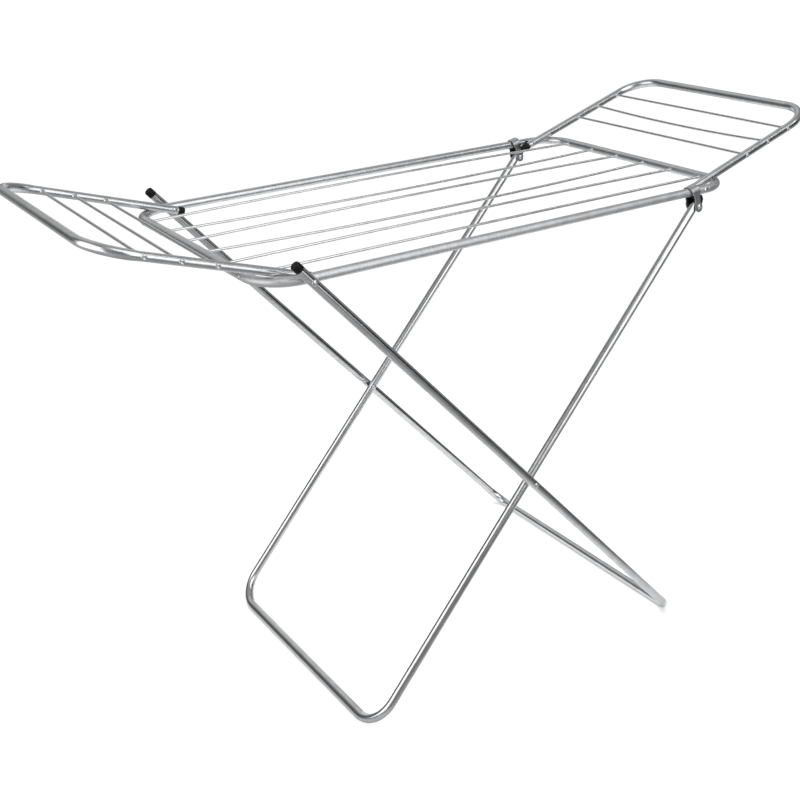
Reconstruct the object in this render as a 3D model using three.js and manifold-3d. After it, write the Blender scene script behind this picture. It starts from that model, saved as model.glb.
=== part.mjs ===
// Folding clothes airer: a rounded tube deck strung with wires, two wings that fold over it,
// and a pair of crossed U-shaped legs whose inner one slides along the deck in two collars.
//
// Millimetres. +X runs along the deck, +Y across it, +Z up. The origin is on the floor under
// the middle of the deck. The airer stands open, its wings resting on the deck's corners.
import * as THREE from 'three';
import { mergeVertices } from 'three/addons/utils/BufferGeometryUtils.js';
import Module from 'manifold-3d';

// ---------------------------------------------------------------- driving dimensions
const CLEARANCE = 0.3; // between pieces that touch

const DECK_LENGTH = 946; // between the centrelines of the two end rails
const DECK_WIDTH = 550; // between the centrelines of the two side rails
const DECK_HEIGHT = 846; // rail centreline above the floor
const DECK_TUBE = 16; // tube diameters
const LEG_TUBE = 16;
const WING_TUBE = 15;
const TUBE_WALL = 0.8;
const DECK_BEND = 65; // bend radii, to the tube's centreline
const OUTER_LEG_BEND = 38;
const INNER_LEG_BEND = 56;
const WING_BEND = 68;

const WIRE = 4.8; // wire diameter
const WIRE_HEAD = 8.6; // formed head on each wire end
const WIRE_HEAD_HEIGHT = 1.4;
const DECK_WIRE_MARGIN = 75; // side rail centreline to the outermost wire
const DECK_WIRE_BOW = [0.5, 2, -8, 3, -6.5, 4.5]; // rise of each wire at mid span, front to back

const WING_REACH = 324; // pivot to the centreline of the wing's outer bar
const WING_FIRST_WIRE = 133.5; // pivot to the nearest wire
const WING_LAST_WIRE = 78; // outer bar to the farthest wire
const WING_WIRE_BOW = { left: [0, 0, 0], right: [0, -6, 0] }; // the same, from the pivot outward
const WING_WIRE_SKEW = { left: 9, right: 0 }; // a wire's front end farther out than its back end
const WING_TAIL = 8.3; // bare tube beyond the pivot
const WING_CAP = 13; // visible length of the cap on that tail

const PIVOT_TO_BEND = 3.5; // wing pivot to the end of the side rail's straight part
const WING_SPACER = 7.5; // side rail to wing arm
const LEG_WASHER = 4; // outer leg to side rail, and to the inner leg
const OPEN_ANGLE = THREE.MathUtils.degToRad(49.1); // outer leg to the deck when open
const COLLAR_DROP = 26; // inner leg's pivot below the rail centreline
const COLLAR_TO_PIVOT = 20.5; // inner leg's pivot to the wing pivot beside it
const LEG_HEAD = 30; // bare outer leg beyond its hinge
const LEG_CAP = 13.5; // visible length of the cap on it
const INNER_LEG_TAIL = 9; // inner leg beyond its pivot

const RIVET = 5; // rivet shank and head
const RIVET_HEAD = 10;
const RIVET_HEAD_HEIGHT = 2.2;
const RIVET_CROWN = 6; // flatter middle of the head
const RIVET_CROWN_HEIGHT = 1.8;
const WASHER = 10; // outer diameter of washers and spacers

const STRAP_WAIST = 12; // width along the rail, where the strap goes over it
const STRAP_WIDTH = 15; // width of its round lower end
const STRAP_FLARE = 16; // the waist's end below the rail centreline
const STRAP_THICKNESS = 1.5;
const STRAP_SPAN = 27; // over its two plates
const STRAP_RISE = 12.5; // crown above the rail centreline
const STRAP_FOOT = 10.5; // its lower end below the rivet
const STRAP_CROWN_BEND = 10.5;
const SADDLE_TOP_LENGTH = 14; // black guide block under the rail
const SADDLE_SHOULDER_LENGTH = 20;
const SADDLE_FOOT_LENGTH = 16;
const SADDLE_TOP_DROP = 6; // its upper edges and its shoulders below the rail centreline
const SADDLE_SHOULDER_DROP = 13.5;
const SADDLE_SLOT = 17; // slot that takes the leg

const CAP_PROUD = 0.3; // how far a cap stands proud of its tube, on the radius
const CAP_SPIGOT = 5; // part of a cap inside its tube
const CAP_ROUND = 2; // rounding of its end
const ROUND_STEP = 1 - Math.SQRT1_2; // middle of a quarter round, in from its corner

const TUBE_SIDES = 16;
const BORE_SIDES = 10;
const BEND_STEPS = 6;
const WIRE_SIDES = 8;
const HOLE_SIDES = 8;
const TURNED_SIDES = 10;
const CAP_SIDES = 12;

// ---------------------------------------------------------------- derived dimensions
const half = (value) => value / 2;
const HALF_TURN = Math.PI;
const QUARTER_TURN = half(Math.PI);
const CORNER_STEP = half(2 * Math.PI / TUBE_SIDES); // half the angle of one facet

const railY = half(DECK_WIDTH);
const armY = railY - half(DECK_TUBE) - WING_SPACER - half(WING_TUBE);
const outerLegY = railY + half(DECK_TUBE) + LEG_WASHER + half(LEG_TUBE);
const innerLegY = outerLegY - LEG_TUBE - LEG_WASHER;
const pivotX = half(DECK_LENGTH) - DECK_BEND - PIVOT_TO_BEND;
const collarX = pivotX - COLLAR_TO_PIVOT;
const barHeight = half(LEG_TUBE) * Math.cos(CORNER_STEP); // floor bars stand on a facet

// The legs cross where the collars keep the same drop at every angle: the inner leg's upper
// part is shorter than the outer leg's by that drop.
const legSpan = pivotX + collarX;
const outerUpper = legSpan ** 2
  / (2 * (legSpan * Math.cos(OPEN_ANGLE) - COLLAR_DROP * (1 - Math.sin(OPEN_ANGLE))));
const innerUpper = outerUpper - COLLAR_DROP;
const innerAngle = Math.asin((outerUpper * Math.sin(OPEN_ANGLE) - COLLAR_DROP) / innerUpper);
const legDrop = DECK_HEIGHT - barHeight;
const outerLength = legDrop / Math.sin(OPEN_ANGLE);
const innerLength = (legDrop - COLLAR_DROP) / Math.sin(innerAngle);

/** Tilt at which a wing arm just rests on the deck's rounded corner. */
function restingTilt() {
  const touching = half(DECK_TUBE) + half(WING_TUBE) + CLEARANCE;
  const cornerX = half(DECK_LENGTH) - DECK_BEND - pivotX;
  const cornerY = railY - DECK_BEND - armY;
  const samples = 90;
  const distanceAt = (tilt) => {
    let nearest = (half(DECK_LENGTH) - pivotX) * Math.sin(tilt) + Math.max(0, -cornerY - DECK_BEND);
    for (let step = 0; step <= samples; step += 1) {
      const turn = QUARTER_TURN * step / samples;
      const rise = (cornerX + DECK_BEND * Math.sin(turn)) * Math.sin(tilt);
      const aside = cornerY + DECK_BEND * Math.cos(turn);
      nearest = Math.min(nearest, Math.hypot(rise, aside));
    }
    return nearest;
  };
  let low = 0;
  let high = QUARTER_TURN;
  for (let round = 0; round < 40; round += 1) {
    const middle = half(low + high);
    if (distanceAt(middle) < touching) {
      low = middle;
    } else {
      high = middle;
    }
  }
  return high;
}
const wingTilt = restingTilt();

// ---------------------------------------------------------------- finishes
const tubeSteel = { color: 0xc9cbce, metalness: 1, roughness: 0.16 };
const wireSteel = { color: 0xd4d6d8, metalness: 1, roughness: 0.22 };
const strapSteel = { color: 0xb4b6b8, metalness: 1, roughness: 0.3 };
const rivetSteel = { color: 0xc0c2c4, metalness: 1, roughness: 0.25 };
const blackPlastic = { color: 0x101011, metalness: 0, roughness: 0.45 };

// ---------------------------------------------------------------- solids
const wasm = await Module();
wasm.setup();

/** Turns a closed three.js geometry into a solid that can be joined and cut. */
function toSolid(geometry) {
  const bare = geometry.clone();
  bare.deleteAttribute('normal');
  bare.deleteAttribute('uv');
  const merged = mergeVertices(bare, 1e-4);
  return new wasm.Manifold(new wasm.Mesh({
    numProp: 3,
    vertProperties: new Float32Array(merged.attributes.position.array),
    triVerts: new Uint32Array(merged.index.array),
  }));
}

/** Turns a solid back into a three.js geometry. */
function toGeometry(solid) {
  const mesh = solid.getMesh();
  const geometry = new THREE.BufferGeometry();
  geometry.setAttribute('position', new THREE.BufferAttribute(new Float32Array(mesh.vertProperties), 3));
  geometry.setIndex(new THREE.BufferAttribute(new Uint32Array(mesh.triVerts), 1));
  geometry.computeVertexNormals();
  return geometry;
}

/** A named mesh with a finish of its own. */
function piece(name, geometry, finish) {
  const mesh = new THREE.Mesh(geometry, new THREE.MeshStandardMaterial(finish));
  mesh.name = name;
  return mesh;
}

/** A path through chosen stations, so that straights stay long and bends get the steps. */
class StationPath extends THREE.Curve {
  constructor(stations) {
    super();
    this.stations = stations;
  }

  getSpacedPoints() {
    return this.stations.map((station) => station.point.clone());
  }

  getPoint(t, target = new THREE.Vector3()) {
    return target.copy(this.stations[Math.round(t * (this.stations.length - 1))].point);
  }

  getTangentAt(u, target = new THREE.Vector3()) {
    return target.copy(this.stations[Math.round(u * (this.stations.length - 1))].tangent);
  }
}

/** Stations along straight runs joined by bends of one radius, in the XY plane. */
function bentPath(corners, bend) {
  const first = corners[0];
  const stations = [];
  let direction = corners[1].clone().sub(first).normalize();
  stations.push({ point: first.clone(), tangent: direction.clone() });
  for (let index = 1; index < corners.length - 1; index += 1) {
    const next = corners[index + 1].clone().sub(corners[index]).normalize();
    const turn = direction.angleTo(next);
    const side = Math.sign(direction.x * next.y - direction.y * next.x);
    const inward = new THREE.Vector3(-direction.y, direction.x, 0).multiplyScalar(side);
    const start = corners[index].clone().addScaledVector(direction, -bend * Math.tan(half(turn)));
    const centre = start.clone().addScaledVector(inward, bend);
    for (let step = 0; step <= BEND_STEPS; step += 1) {
      const angle = turn * step / BEND_STEPS;
      stations.push({
        point: centre.clone()
          .addScaledVector(inward, -bend * Math.cos(angle))
          .addScaledVector(direction, bend * Math.sin(angle)),
        tangent: direction.clone().multiplyScalar(Math.cos(angle))
          .addScaledVector(inward, Math.sin(angle)),
      });
    }
    direction = next;
  }
  stations.push({ point: corners[corners.length - 1].clone(), tangent: direction.clone() });
  return new StationPath(stations);
}

/** Many-sided outline, with a facet facing the given angle. */
function roundOutline(diameter, sides, facet, Outline) {
  const points = [];
  for (let corner = 0; corner < sides; corner += 1) {
    const angle = facet + (corner + 0.5) * 2 * Math.PI / sides;
    points.push(new THREE.Vector2(Math.cos(angle), Math.sin(angle)).multiplyScalar(half(diameter)));
  }
  return new Outline(points);
}

/** Hollow tube along a path. */
function tube(path, diameter, facet = 0) {
  const section = roundOutline(diameter, TUBE_SIDES, facet, THREE.Shape);
  section.holes.push(roundOutline(diameter - 2 * TUBE_WALL, BORE_SIDES, facet, THREE.Path));
  const geometry = new THREE.ExtrudeGeometry(section, {
    steps: path.stations.length - 1,
    extrudePath: path,
    bevelEnabled: false,
  });
  return toSolid(geometry);
}

/** Round bar through a point, along X, Y or Z. */
function roundBar(centre, axis, diameter, length, sides) {
  const geometry = new THREE.CylinderGeometry(half(diameter), half(diameter), length, sides);
  geometry.applyQuaternion(new THREE.Quaternion().setFromUnitVectors(new THREE.Vector3(0, 1, 0), axis));
  geometry.translate(centre.x, centre.y, centre.z);
  return toSolid(geometry);
}

/** Drills holes along one axis. */
function drill(solid, centres, axis, diameter, length) {
  let result = solid;
  for (const centre of centres) {
    result = result.subtract(roundBar(centre, axis, diameter, length, HOLE_SIDES));
  }
  return result;
}

/** Turned piece about the Y axis, from a profile of radius and height pairs. */
function turned(profile, sides = TURNED_SIDES) {
  return new THREE.LatheGeometry(profile.map(([radius, height]) => new THREE.Vector2(radius, height)), sides);
}

/** Flat outline given a thickness, centred, with its depth along the third axis. */
function plate(outline, depth) {
  const geometry = new THREE.ExtrudeGeometry(outline, { depth, bevelEnabled: false, curveSegments: BEND_STEPS });
  geometry.translate(0, 0, -half(depth));
  return geometry;
}

const AXIS_X = new THREE.Vector3(1, 0, 0);
const AXIS_Y = new THREE.Vector3(0, 1, 0);
const AXIS_Z = new THREE.Vector3(0, 0, 1);
const point = (x, y, z = 0) => new THREE.Vector3(x, y, z);
const sides = [['front', -1], ['back', 1]];
const ends = [['left', -1], ['right', 1]];
const rivetHole = RIVET + 2 * CLEARANCE;
const wireHole = WIRE + 2 * CLEARANCE;

// ---------------------------------------------------------------- wires
/** Wire between two rails, bowed at mid span, with a formed head outside each rail. */
function wire(name, span, rail, bow) {
  const seat = half(span) + half(rail) + CLEARANCE;
  const bent = half(span) - half(rail);
  const steps = bow === 0 ? 1 : 6;
  const stations = [point(-seat, 0)];
  for (let step = 0; step <= steps; step += 1) {
    const along = bent * (2 * step / steps - 1);
    stations.push(point(along, 0, bow * (1 - (along / bent) ** 2)));
  }
  stations.push(point(seat, 0));
  const path = new StationPath(stations.map((place) => ({ point: place, tangent: AXIS_X })));
  const shank = new THREE.ExtrudeGeometry(roundOutline(WIRE, WIRE_SIDES, 0, THREE.Shape), {
    steps: stations.length - 1,
    extrudePath: path,
    bevelEnabled: false,
  });
  const head = turned([
    [0, 0], [half(WIRE_HEAD), 0], [half(WIRE_HEAD), half(WIRE_HEAD_HEIGHT)],
    [half(WIRE), WIRE_HEAD_HEIGHT], [0, half(WIRE_HEAD_HEIGHT)],
  ], WIRE_SIDES);
  let solid = toSolid(shank);
  for (const end of [-1, 1]) {
    const cap = head.clone();
    cap.rotateZ(-end * QUARTER_TURN);
    cap.translate(end * seat, 0, 0);
    solid = solid.add(toSolid(cap));
  }
  return piece(name, toGeometry(solid), wireSteel);
}

// ---------------------------------------------------------------- deck
/** Half of the deck's rounded frame, from mid rail to mid rail. */
function deckHalf() {
  const x = half(DECK_LENGTH);
  return tube(bentPath([point(0, -railY), point(x, -railY), point(x, railY), point(0, railY)], DECK_BEND), DECK_TUBE);
}

function deckFrame(wireYs) {
  const right = deckHalf();
  const left = right.rotate([0, 0, 180]);
  const ring = right.add(left);
  const through = 2 * DECK_TUBE;
  const endHoles = ends.flatMap(([, end]) => wireYs.map((y) => point(end * half(DECK_LENGTH), y)));
  const pivotHoles = ends.flatMap(([, end]) => sides.map(([, side]) => point(end * pivotX, side * railY)));
  const wired = drill(ring, endHoles, AXIS_X, wireHole, through);
  return piece('deck_frame', toGeometry(drill(wired, pivotHoles, AXIS_Y, rivetHole, through)), tubeSteel);
}

function deck() {
  const group = new THREE.Group();
  const pitch = (DECK_WIDTH - 2 * DECK_WIRE_MARGIN) / (DECK_WIRE_BOW.length - 1);
  const wireYs = DECK_WIRE_BOW.map((bow, index) => DECK_WIRE_MARGIN - railY + pitch * index);
  group.add(deckFrame(wireYs));
  wireYs.forEach((y, index) => {
    const strand = wire(`deck_wire_${index + 1}`, DECK_LENGTH, DECK_TUBE, DECK_WIRE_BOW[index]);
    strand.position.y = y;
    group.add(strand);
  });
  return group;
}

// ---------------------------------------------------------------- rivets and washers
/** Rivet along Y between two outer faces, with a domed head on each. */
function rivet(name, innerY, outerY) {
  const low = innerY - CLEARANCE;
  const high = outerY + CLEARANCE;
  const crown = half(RIVET_CROWN);
  const profile = [
    [0, low - RIVET_HEAD_HEIGHT], [crown, low - RIVET_CROWN_HEIGHT], [half(RIVET_HEAD), low],
    [half(RIVET), low], [half(RIVET), high],
    [half(RIVET_HEAD), high], [crown, high + RIVET_CROWN_HEIGHT], [0, high + RIVET_HEAD_HEIGHT],
  ];
  return piece(name, turned(profile), rivetSteel);
}

/** Washer along Y that fills the space between two tubes. */
function washer(name, innerY, outerY, finish) {
  const low = innerY + CLEARANCE;
  const high = outerY - CLEARANCE;
  const bore = half(rivetHole);
  const rim = half(WASHER);
  return piece(name, turned([[bore, low], [rim, low], [rim, high], [bore, high], [bore, low]]), finish);
}

/** Puts a piece made for the back side on either side of the rack. */
function placeOnSide(mesh, side, x, z) {
  mesh.rotation.z = side > 0 ? 0 : HALF_TURN;
  mesh.position.set(x, 0, z);
  return mesh;
}

function pivots() {
  const group = new THREE.Group();
  const armInner = armY - half(WING_TUBE);
  const railOuter = railY + half(DECK_TUBE);
  const legOuter = outerLegY + half(LEG_TUBE);
  for (const [sideName, side] of sides) {
    for (const [endName, end] of ends) {
      const outer = end < 0 ? legOuter : railOuter;
      const x = end * pivotX;
      group.add(placeOnSide(rivet(`pivot_rivet_${endName}_${sideName}`, armInner, outer), side, x, 0));
      group.add(placeOnSide(washer(
        `wing_spacer_${endName}_${sideName}`,
        armY + half(WING_TUBE),
        railY - half(DECK_TUBE),
        blackPlastic,
      ), side, x, 0));
    }
    group.add(placeOnSide(
      washer(`leg_hinge_washer_${sideName}`, railOuter, outerLegY - half(LEG_TUBE), blackPlastic),
      side,
      -pivotX,
      0,
    ));
  }
  return group;
}

// ---------------------------------------------------------------- tube end caps
/** Black cap on a tube end at the origin, pointing along +X. */
function endCap(name, diameter, length) {
  const rim = half(diameter) + CAP_PROUD;
  const bore = half(diameter) - TUBE_WALL;
  const spigot = bore * Math.cos(HALF_TURN / BORE_SIDES) - CLEARANCE;
  const geometry = turned([
    [0, -CAP_SPIGOT], [spigot, -CAP_SPIGOT], [spigot, CLEARANCE], [rim, CLEARANCE],
    [rim, length - CAP_ROUND], [rim - CAP_ROUND * ROUND_STEP, length - CAP_ROUND * ROUND_STEP],
    [rim - CAP_ROUND, length], [0, length],
  ], CAP_SIDES);
  geometry.rotateZ(-QUARTER_TURN);
  return piece(name, geometry, blackPlastic);
}

// ---------------------------------------------------------------- wings
/** One wing in its own plane: pivot on the Y axis, arms along +X. */
function wing(endName) {
  const group = new THREE.Group();
  const corners = [
    point(-WING_TAIL, -armY), point(WING_REACH, -armY), point(WING_REACH, armY), point(-WING_TAIL, armY),
  ];
  const lastWire = WING_REACH - WING_LAST_WIRE;
  const bows = WING_WIRE_BOW[endName];
  const pitch = (lastWire - WING_FIRST_WIRE) / (bows.length - 1);
  const wireXs = bows.map((bow, index) => WING_FIRST_WIRE + pitch * index);
  const through = 2 * WING_TUBE;
  const skew = half(WING_WIRE_SKEW[endName]);
  const lean = Math.atan2(skew, armY);
  const along = AXIS_Y.clone().applyAxisAngle(AXIS_Z, lean);
  const wireHoles = sides.flatMap(([, side]) => wireXs.map((x) => point(x - side * skew, side * armY)));
  const pivotHoles = sides.map(([, side]) => point(0, side * armY));
  const bent = tube(bentPath(corners, WING_BEND), WING_TUBE);
  const wired = drill(bent, wireHoles, along, wireHole, through);
  const drilled = drill(wired, pivotHoles, AXIS_Y, rivetHole, through);
  group.add(piece(`wing_${endName}_frame`, toGeometry(drilled), tubeSteel));
  wireXs.forEach((x, index) => {
    const strand = wire(`wing_${endName}_wire_${index + 1}`, 2 * Math.hypot(armY, skew), WING_TUBE, bows[index]);
    strand.rotation.z = QUARTER_TURN + lean;
    strand.position.x = x;
    group.add(strand);
  });
  for (const [sideName, side] of sides) {
    const cap = endCap(`wing_${endName}_cap_${sideName}`, WING_TUBE, WING_CAP);
    cap.rotation.z = HALF_TURN;
    cap.position.set(-WING_TAIL, side * armY, 0);
    group.add(cap);
  }
  return group;
}

/** Both wings, tilted up from their pivots, the left one turned to face the other way. */
function wings() {
  const group = new THREE.Group();
  for (const [endName, end] of ends) {
    const tilted = wing(endName);
    tilted.rotation.y = end > 0 ? -wingTilt : wingTilt - HALF_TURN;
    tilted.position.x = end * pivotX;
    group.add(tilted);
  }
  return group;
}

// ---------------------------------------------------------------- legs
/** U-shaped leg in its own plane: top pivot on the Y axis, legs along +X, bar at the end. */
function legTube(name, { y, tail, length, crossing, bend, lean }) {
  const corners = [point(-tail, -y), point(length, -y), point(length, y), point(-tail, y)];
  const bent = tube(bentPath(corners, bend), LEG_TUBE, -lean);
  const holes = [0, crossing].flatMap((x) => sides.map(([, side]) => point(x, side * y)));
  return piece(name, toGeometry(drill(bent, holes, AXIS_Y, rivetHole, 2 * LEG_TUBE)), tubeSteel);
}

function outerLeg() {
  const group = new THREE.Group();
  group.add(legTube('leg_outer_frame', {
    y: outerLegY,
    tail: LEG_HEAD,
    length: outerLength,
    crossing: outerUpper,
    bend: OUTER_LEG_BEND,
    lean: OPEN_ANGLE,
  }));
  for (const [sideName, side] of sides) {
    const cap = endCap(`leg_outer_cap_${sideName}`, LEG_TUBE, LEG_CAP);
    cap.rotation.z = HALF_TURN;
    cap.position.set(-LEG_HEAD, side * outerLegY, 0);
    group.add(cap);
    const inner = innerLegY - half(LEG_TUBE);
    group.add(placeOnSide(rivet(`cross_rivet_${sideName}`, inner, outerLegY + half(LEG_TUBE)), side, outerUpper, 0));
    group.add(placeOnSide(
      washer(`cross_washer_${sideName}`, innerLegY + half(LEG_TUBE), outerLegY - half(LEG_TUBE), blackPlastic),
      side,
      outerUpper,
      0,
    ));
  }
  group.rotation.y = OPEN_ANGLE;
  group.position.x = -pivotX;
  return group;
}

function innerLeg() {
  const group = new THREE.Group();
  const lean = HALF_TURN - innerAngle;
  group.add(legTube('leg_inner_frame', {
    y: innerLegY,
    tail: INNER_LEG_TAIL,
    length: innerLength,
    crossing: innerUpper,
    bend: INNER_LEG_BEND,
    lean,
  }));
  for (const [sideName, side] of sides) {
    const plug = endCap(`leg_inner_plug_${sideName}`, LEG_TUBE - 2 * CAP_PROUD, CAP_ROUND);
    plug.rotation.z = HALF_TURN;
    plug.position.set(-INNER_LEG_TAIL, side * innerLegY, 0);
    group.add(plug);
  }
  group.rotation.y = lean;
  group.position.set(collarX, 0, -COLLAR_DROP);
  return group;
}

// ---------------------------------------------------------------- sliding collars
/** Side view of the strap: a narrow band that widens to a round lower end. */
function strapSide() {
  const outline = new THREE.Shape();
  const waist = half(STRAP_WAIST);
  const reach = half(STRAP_WIDTH);
  const top = STRAP_RISE + STRAP_THICKNESS;
  const flareEnd = STRAP_FLARE + reach - waist;
  const arcHeight = COLLAR_DROP + STRAP_FOOT - reach;
  outline.moveTo(waist, top);
  outline.lineTo(-waist, top);
  outline.lineTo(-waist, -STRAP_FLARE);
  outline.lineTo(-reach, -flareEnd);
  outline.lineTo(-reach, -arcHeight);
  outline.absarc(0, -arcHeight, reach, HALF_TURN, 2 * HALF_TURN, false);
  outline.lineTo(reach, -flareEnd);
  outline.lineTo(waist, -STRAP_FLARE);
  outline.lineTo(waist, top);
  return outline;
}

/** End view of one edge of the strap: two plates joined by a crown with round shoulders. */
function strapArch(span, rise, bend, foot) {
  const outline = new THREE.Shape();
  const reach = half(span);
  outline.moveTo(reach, -foot);
  outline.lineTo(reach, rise - bend);
  outline.absarc(reach - bend, rise - bend, bend, 0, QUARTER_TURN, false);
  outline.lineTo(bend - reach, rise);
  outline.absarc(bend - reach, rise - bend, bend, QUARTER_TURN, HALF_TURN, false);
  outline.lineTo(-reach, -foot);
  return outline;
}

/** Turns a plate drawn in an end view (Y across, Z up) so that its depth runs along X. */
function alongRail(geometry) {
  return geometry.rotateX(QUARTER_TURN).rotateZ(QUARTER_TURN);
}

/** Turns a plate drawn in a side view (X along, Z up) so that its depth runs along Y. */
function acrossRail(geometry) {
  return geometry.rotateX(QUARTER_TURN);
}

const collarHole = () => [point(0, 0, -COLLAR_DROP)];

function strap(name) {
  const foot = COLLAR_DROP + STRAP_FOOT;
  const inner = STRAP_SPAN - 2 * STRAP_THICKNESS;
  const outside = toSolid(alongRail(plate(strapArch(STRAP_SPAN, STRAP_RISE, STRAP_CROWN_BEND, foot), STRAP_WIDTH)));
  const inside = toSolid(alongRail(plate(
    strapArch(inner, STRAP_RISE - STRAP_THICKNESS, STRAP_CROWN_BEND - STRAP_THICKNESS, 2 * foot),
    2 * STRAP_WIDTH,
  )));
  const sideView = toSolid(acrossRail(plate(strapSide(), 2 * STRAP_SPAN)));
  const bent = outside.subtract(inside).intersect(sideView);
  return piece(name, toGeometry(drill(bent, collarHole(), AXIS_Y, rivetHole, 2 * STRAP_SPAN)), strapSteel);
}

/** Side view of the saddle: sloping shoulders under the rail, and a foot round the rivet. */
function saddleSide() {
  const outline = new THREE.Shape();
  const top = half(SADDLE_TOP_LENGTH);
  const shoulder = half(SADDLE_SHOULDER_LENGTH);
  const foot = half(SADDLE_FOOT_LENGTH);
  outline.moveTo(top, -SADDLE_TOP_DROP);
  outline.lineTo(-top, -SADDLE_TOP_DROP);
  outline.lineTo(-shoulder, -SADDLE_SHOULDER_DROP);
  outline.lineTo(-foot, -COLLAR_DROP);
  outline.absarc(0, -COLLAR_DROP, foot, HALF_TURN, 2 * HALF_TURN, false);
  outline.lineTo(shoulder, -SADDLE_SHOULDER_DROP);
  outline.lineTo(top, -SADDLE_TOP_DROP);
  return outline;
}

function saddle(name) {
  const thickness = STRAP_SPAN - 2 * STRAP_THICKNESS - 2 * CLEARANCE;
  const block = toSolid(acrossRail(plate(saddleSide(), thickness)));
  const bore = DECK_TUBE + 2 * CLEARANCE;
  const railBore = roundBar(point(0, 0, 0), AXIS_X, bore, 2 * SADDLE_SHOULDER_LENGTH, TUBE_SIDES);
  const sweep = Math.hypot(INNER_LEG_TAIL + CAP_ROUND, half(LEG_TUBE)) + CLEARANCE;
  const slotOutline = new THREE.Shape();
  slotOutline.moveTo(2 * sweep, -2 * COLLAR_DROP);
  slotOutline.lineTo(2 * sweep, sweep - COLLAR_DROP);
  slotOutline.lineTo(-2 * sweep, sweep - COLLAR_DROP);
  slotOutline.lineTo(-2 * sweep, -2 * COLLAR_DROP);
  slotOutline.lineTo(2 * sweep, -2 * COLLAR_DROP);
  const slot = toSolid(acrossRail(plate(slotOutline, SADDLE_SLOT)));
  const cut = block.subtract(railBore).subtract(slot);
  return piece(name, toGeometry(drill(cut, collarHole(), AXIS_Y, rivetHole, 2 * STRAP_SPAN)), blackPlastic);
}

function collars() {
  const group = new THREE.Group();
  for (const [sideName, side] of sides) {
    const collar = new THREE.Group();
    const pin = rivet(`collar_rivet_${sideName}`, -half(STRAP_SPAN), half(STRAP_SPAN));
    pin.position.z = -COLLAR_DROP;
    collar.add(strap(`collar_strap_${sideName}`), saddle(`collar_saddle_${sideName}`), pin);
    collar.position.set(collarX, side * railY, 0);
    group.add(collar);
  }
  return group;
}

// ---------------------------------------------------------------- the whole airer
const airer = new THREE.Group();
const atDeckHeight = new THREE.Group();
atDeckHeight.add(deck(), pivots(), wings(), outerLeg(), innerLeg(), collars());
atDeckHeight.position.z = DECK_HEIGHT;
airer.add(atDeckHeight);

export default airer;
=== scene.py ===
"""Folding clothes airer, dressed: turned, bent and pressed pieces with their finishes.

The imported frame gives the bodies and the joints. Each class below is one sub-assembly. It
holds its own sizes, shapes its pieces, and puts each one on its body in place of the plain
solid that it refines. Lengths are in metres: +X along the deck, +Y across it, +Z up.
"""

from __future__ import annotations

import logging
import math
from collections.abc import Callable, Iterable, Sequence
from dataclasses import dataclass, field
from enum import Enum

import bpy
from mathutils import Matrix, Vector

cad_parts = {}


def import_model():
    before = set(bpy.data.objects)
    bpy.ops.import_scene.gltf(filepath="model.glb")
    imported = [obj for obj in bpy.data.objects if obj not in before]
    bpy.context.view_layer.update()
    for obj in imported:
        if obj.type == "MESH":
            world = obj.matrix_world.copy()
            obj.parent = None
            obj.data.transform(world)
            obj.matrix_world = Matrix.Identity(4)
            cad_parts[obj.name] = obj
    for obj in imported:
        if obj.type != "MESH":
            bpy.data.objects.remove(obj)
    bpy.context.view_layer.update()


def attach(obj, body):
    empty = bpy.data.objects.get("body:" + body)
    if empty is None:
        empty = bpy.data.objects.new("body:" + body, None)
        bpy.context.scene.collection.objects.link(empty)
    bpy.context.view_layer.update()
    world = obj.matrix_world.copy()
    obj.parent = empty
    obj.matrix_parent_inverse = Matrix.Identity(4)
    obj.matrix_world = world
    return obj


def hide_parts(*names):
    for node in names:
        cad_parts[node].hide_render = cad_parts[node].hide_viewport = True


log = logging.getLogger("airer")

MM = 0.001
QUARTER_TURN = math.pi / 2
HALF_TURN = math.pi
AXIS_X = Vector((1, 0, 0))
AXIS_Y = Vector((0, 1, 0))
AXIS_Z = Vector((0, 0, 1))
ORIGIN = Vector((0, 0, 0))
UNSTRETCHED = (1, 1, 1)

Triple = tuple[float, float, float]
Profile = Sequence[tuple[float, float]]


# ------------------------------------------------------------------ named options
class Slot(Enum):
    """Material slots of the record."""

    TUBE = "tube_steel"
    WIRE = "wire_steel"
    STRAP = "strap_steel"
    RIVET = "rivet_steel"
    PLASTIC = "black_plastic"


class Grain(Enum):
    """Where a finish reads the place of its pattern."""

    DRAWN = "drawn"
    SOLID = "object"


class Side(Enum):
    """Front or back of the airer, with its sign along Y."""

    FRONT = -1
    BACK = 1

    @property
    def label(self) -> str:
        """Name of the side in the names of pieces."""
        return self.name.lower()


class End(Enum):
    """Left or right end of the deck, with its sign along X."""

    LEFT = -1
    RIGHT = 1

    @property
    def label(self) -> str:
        """Name of the end in the names of pieces."""
        return self.name.lower()


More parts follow.
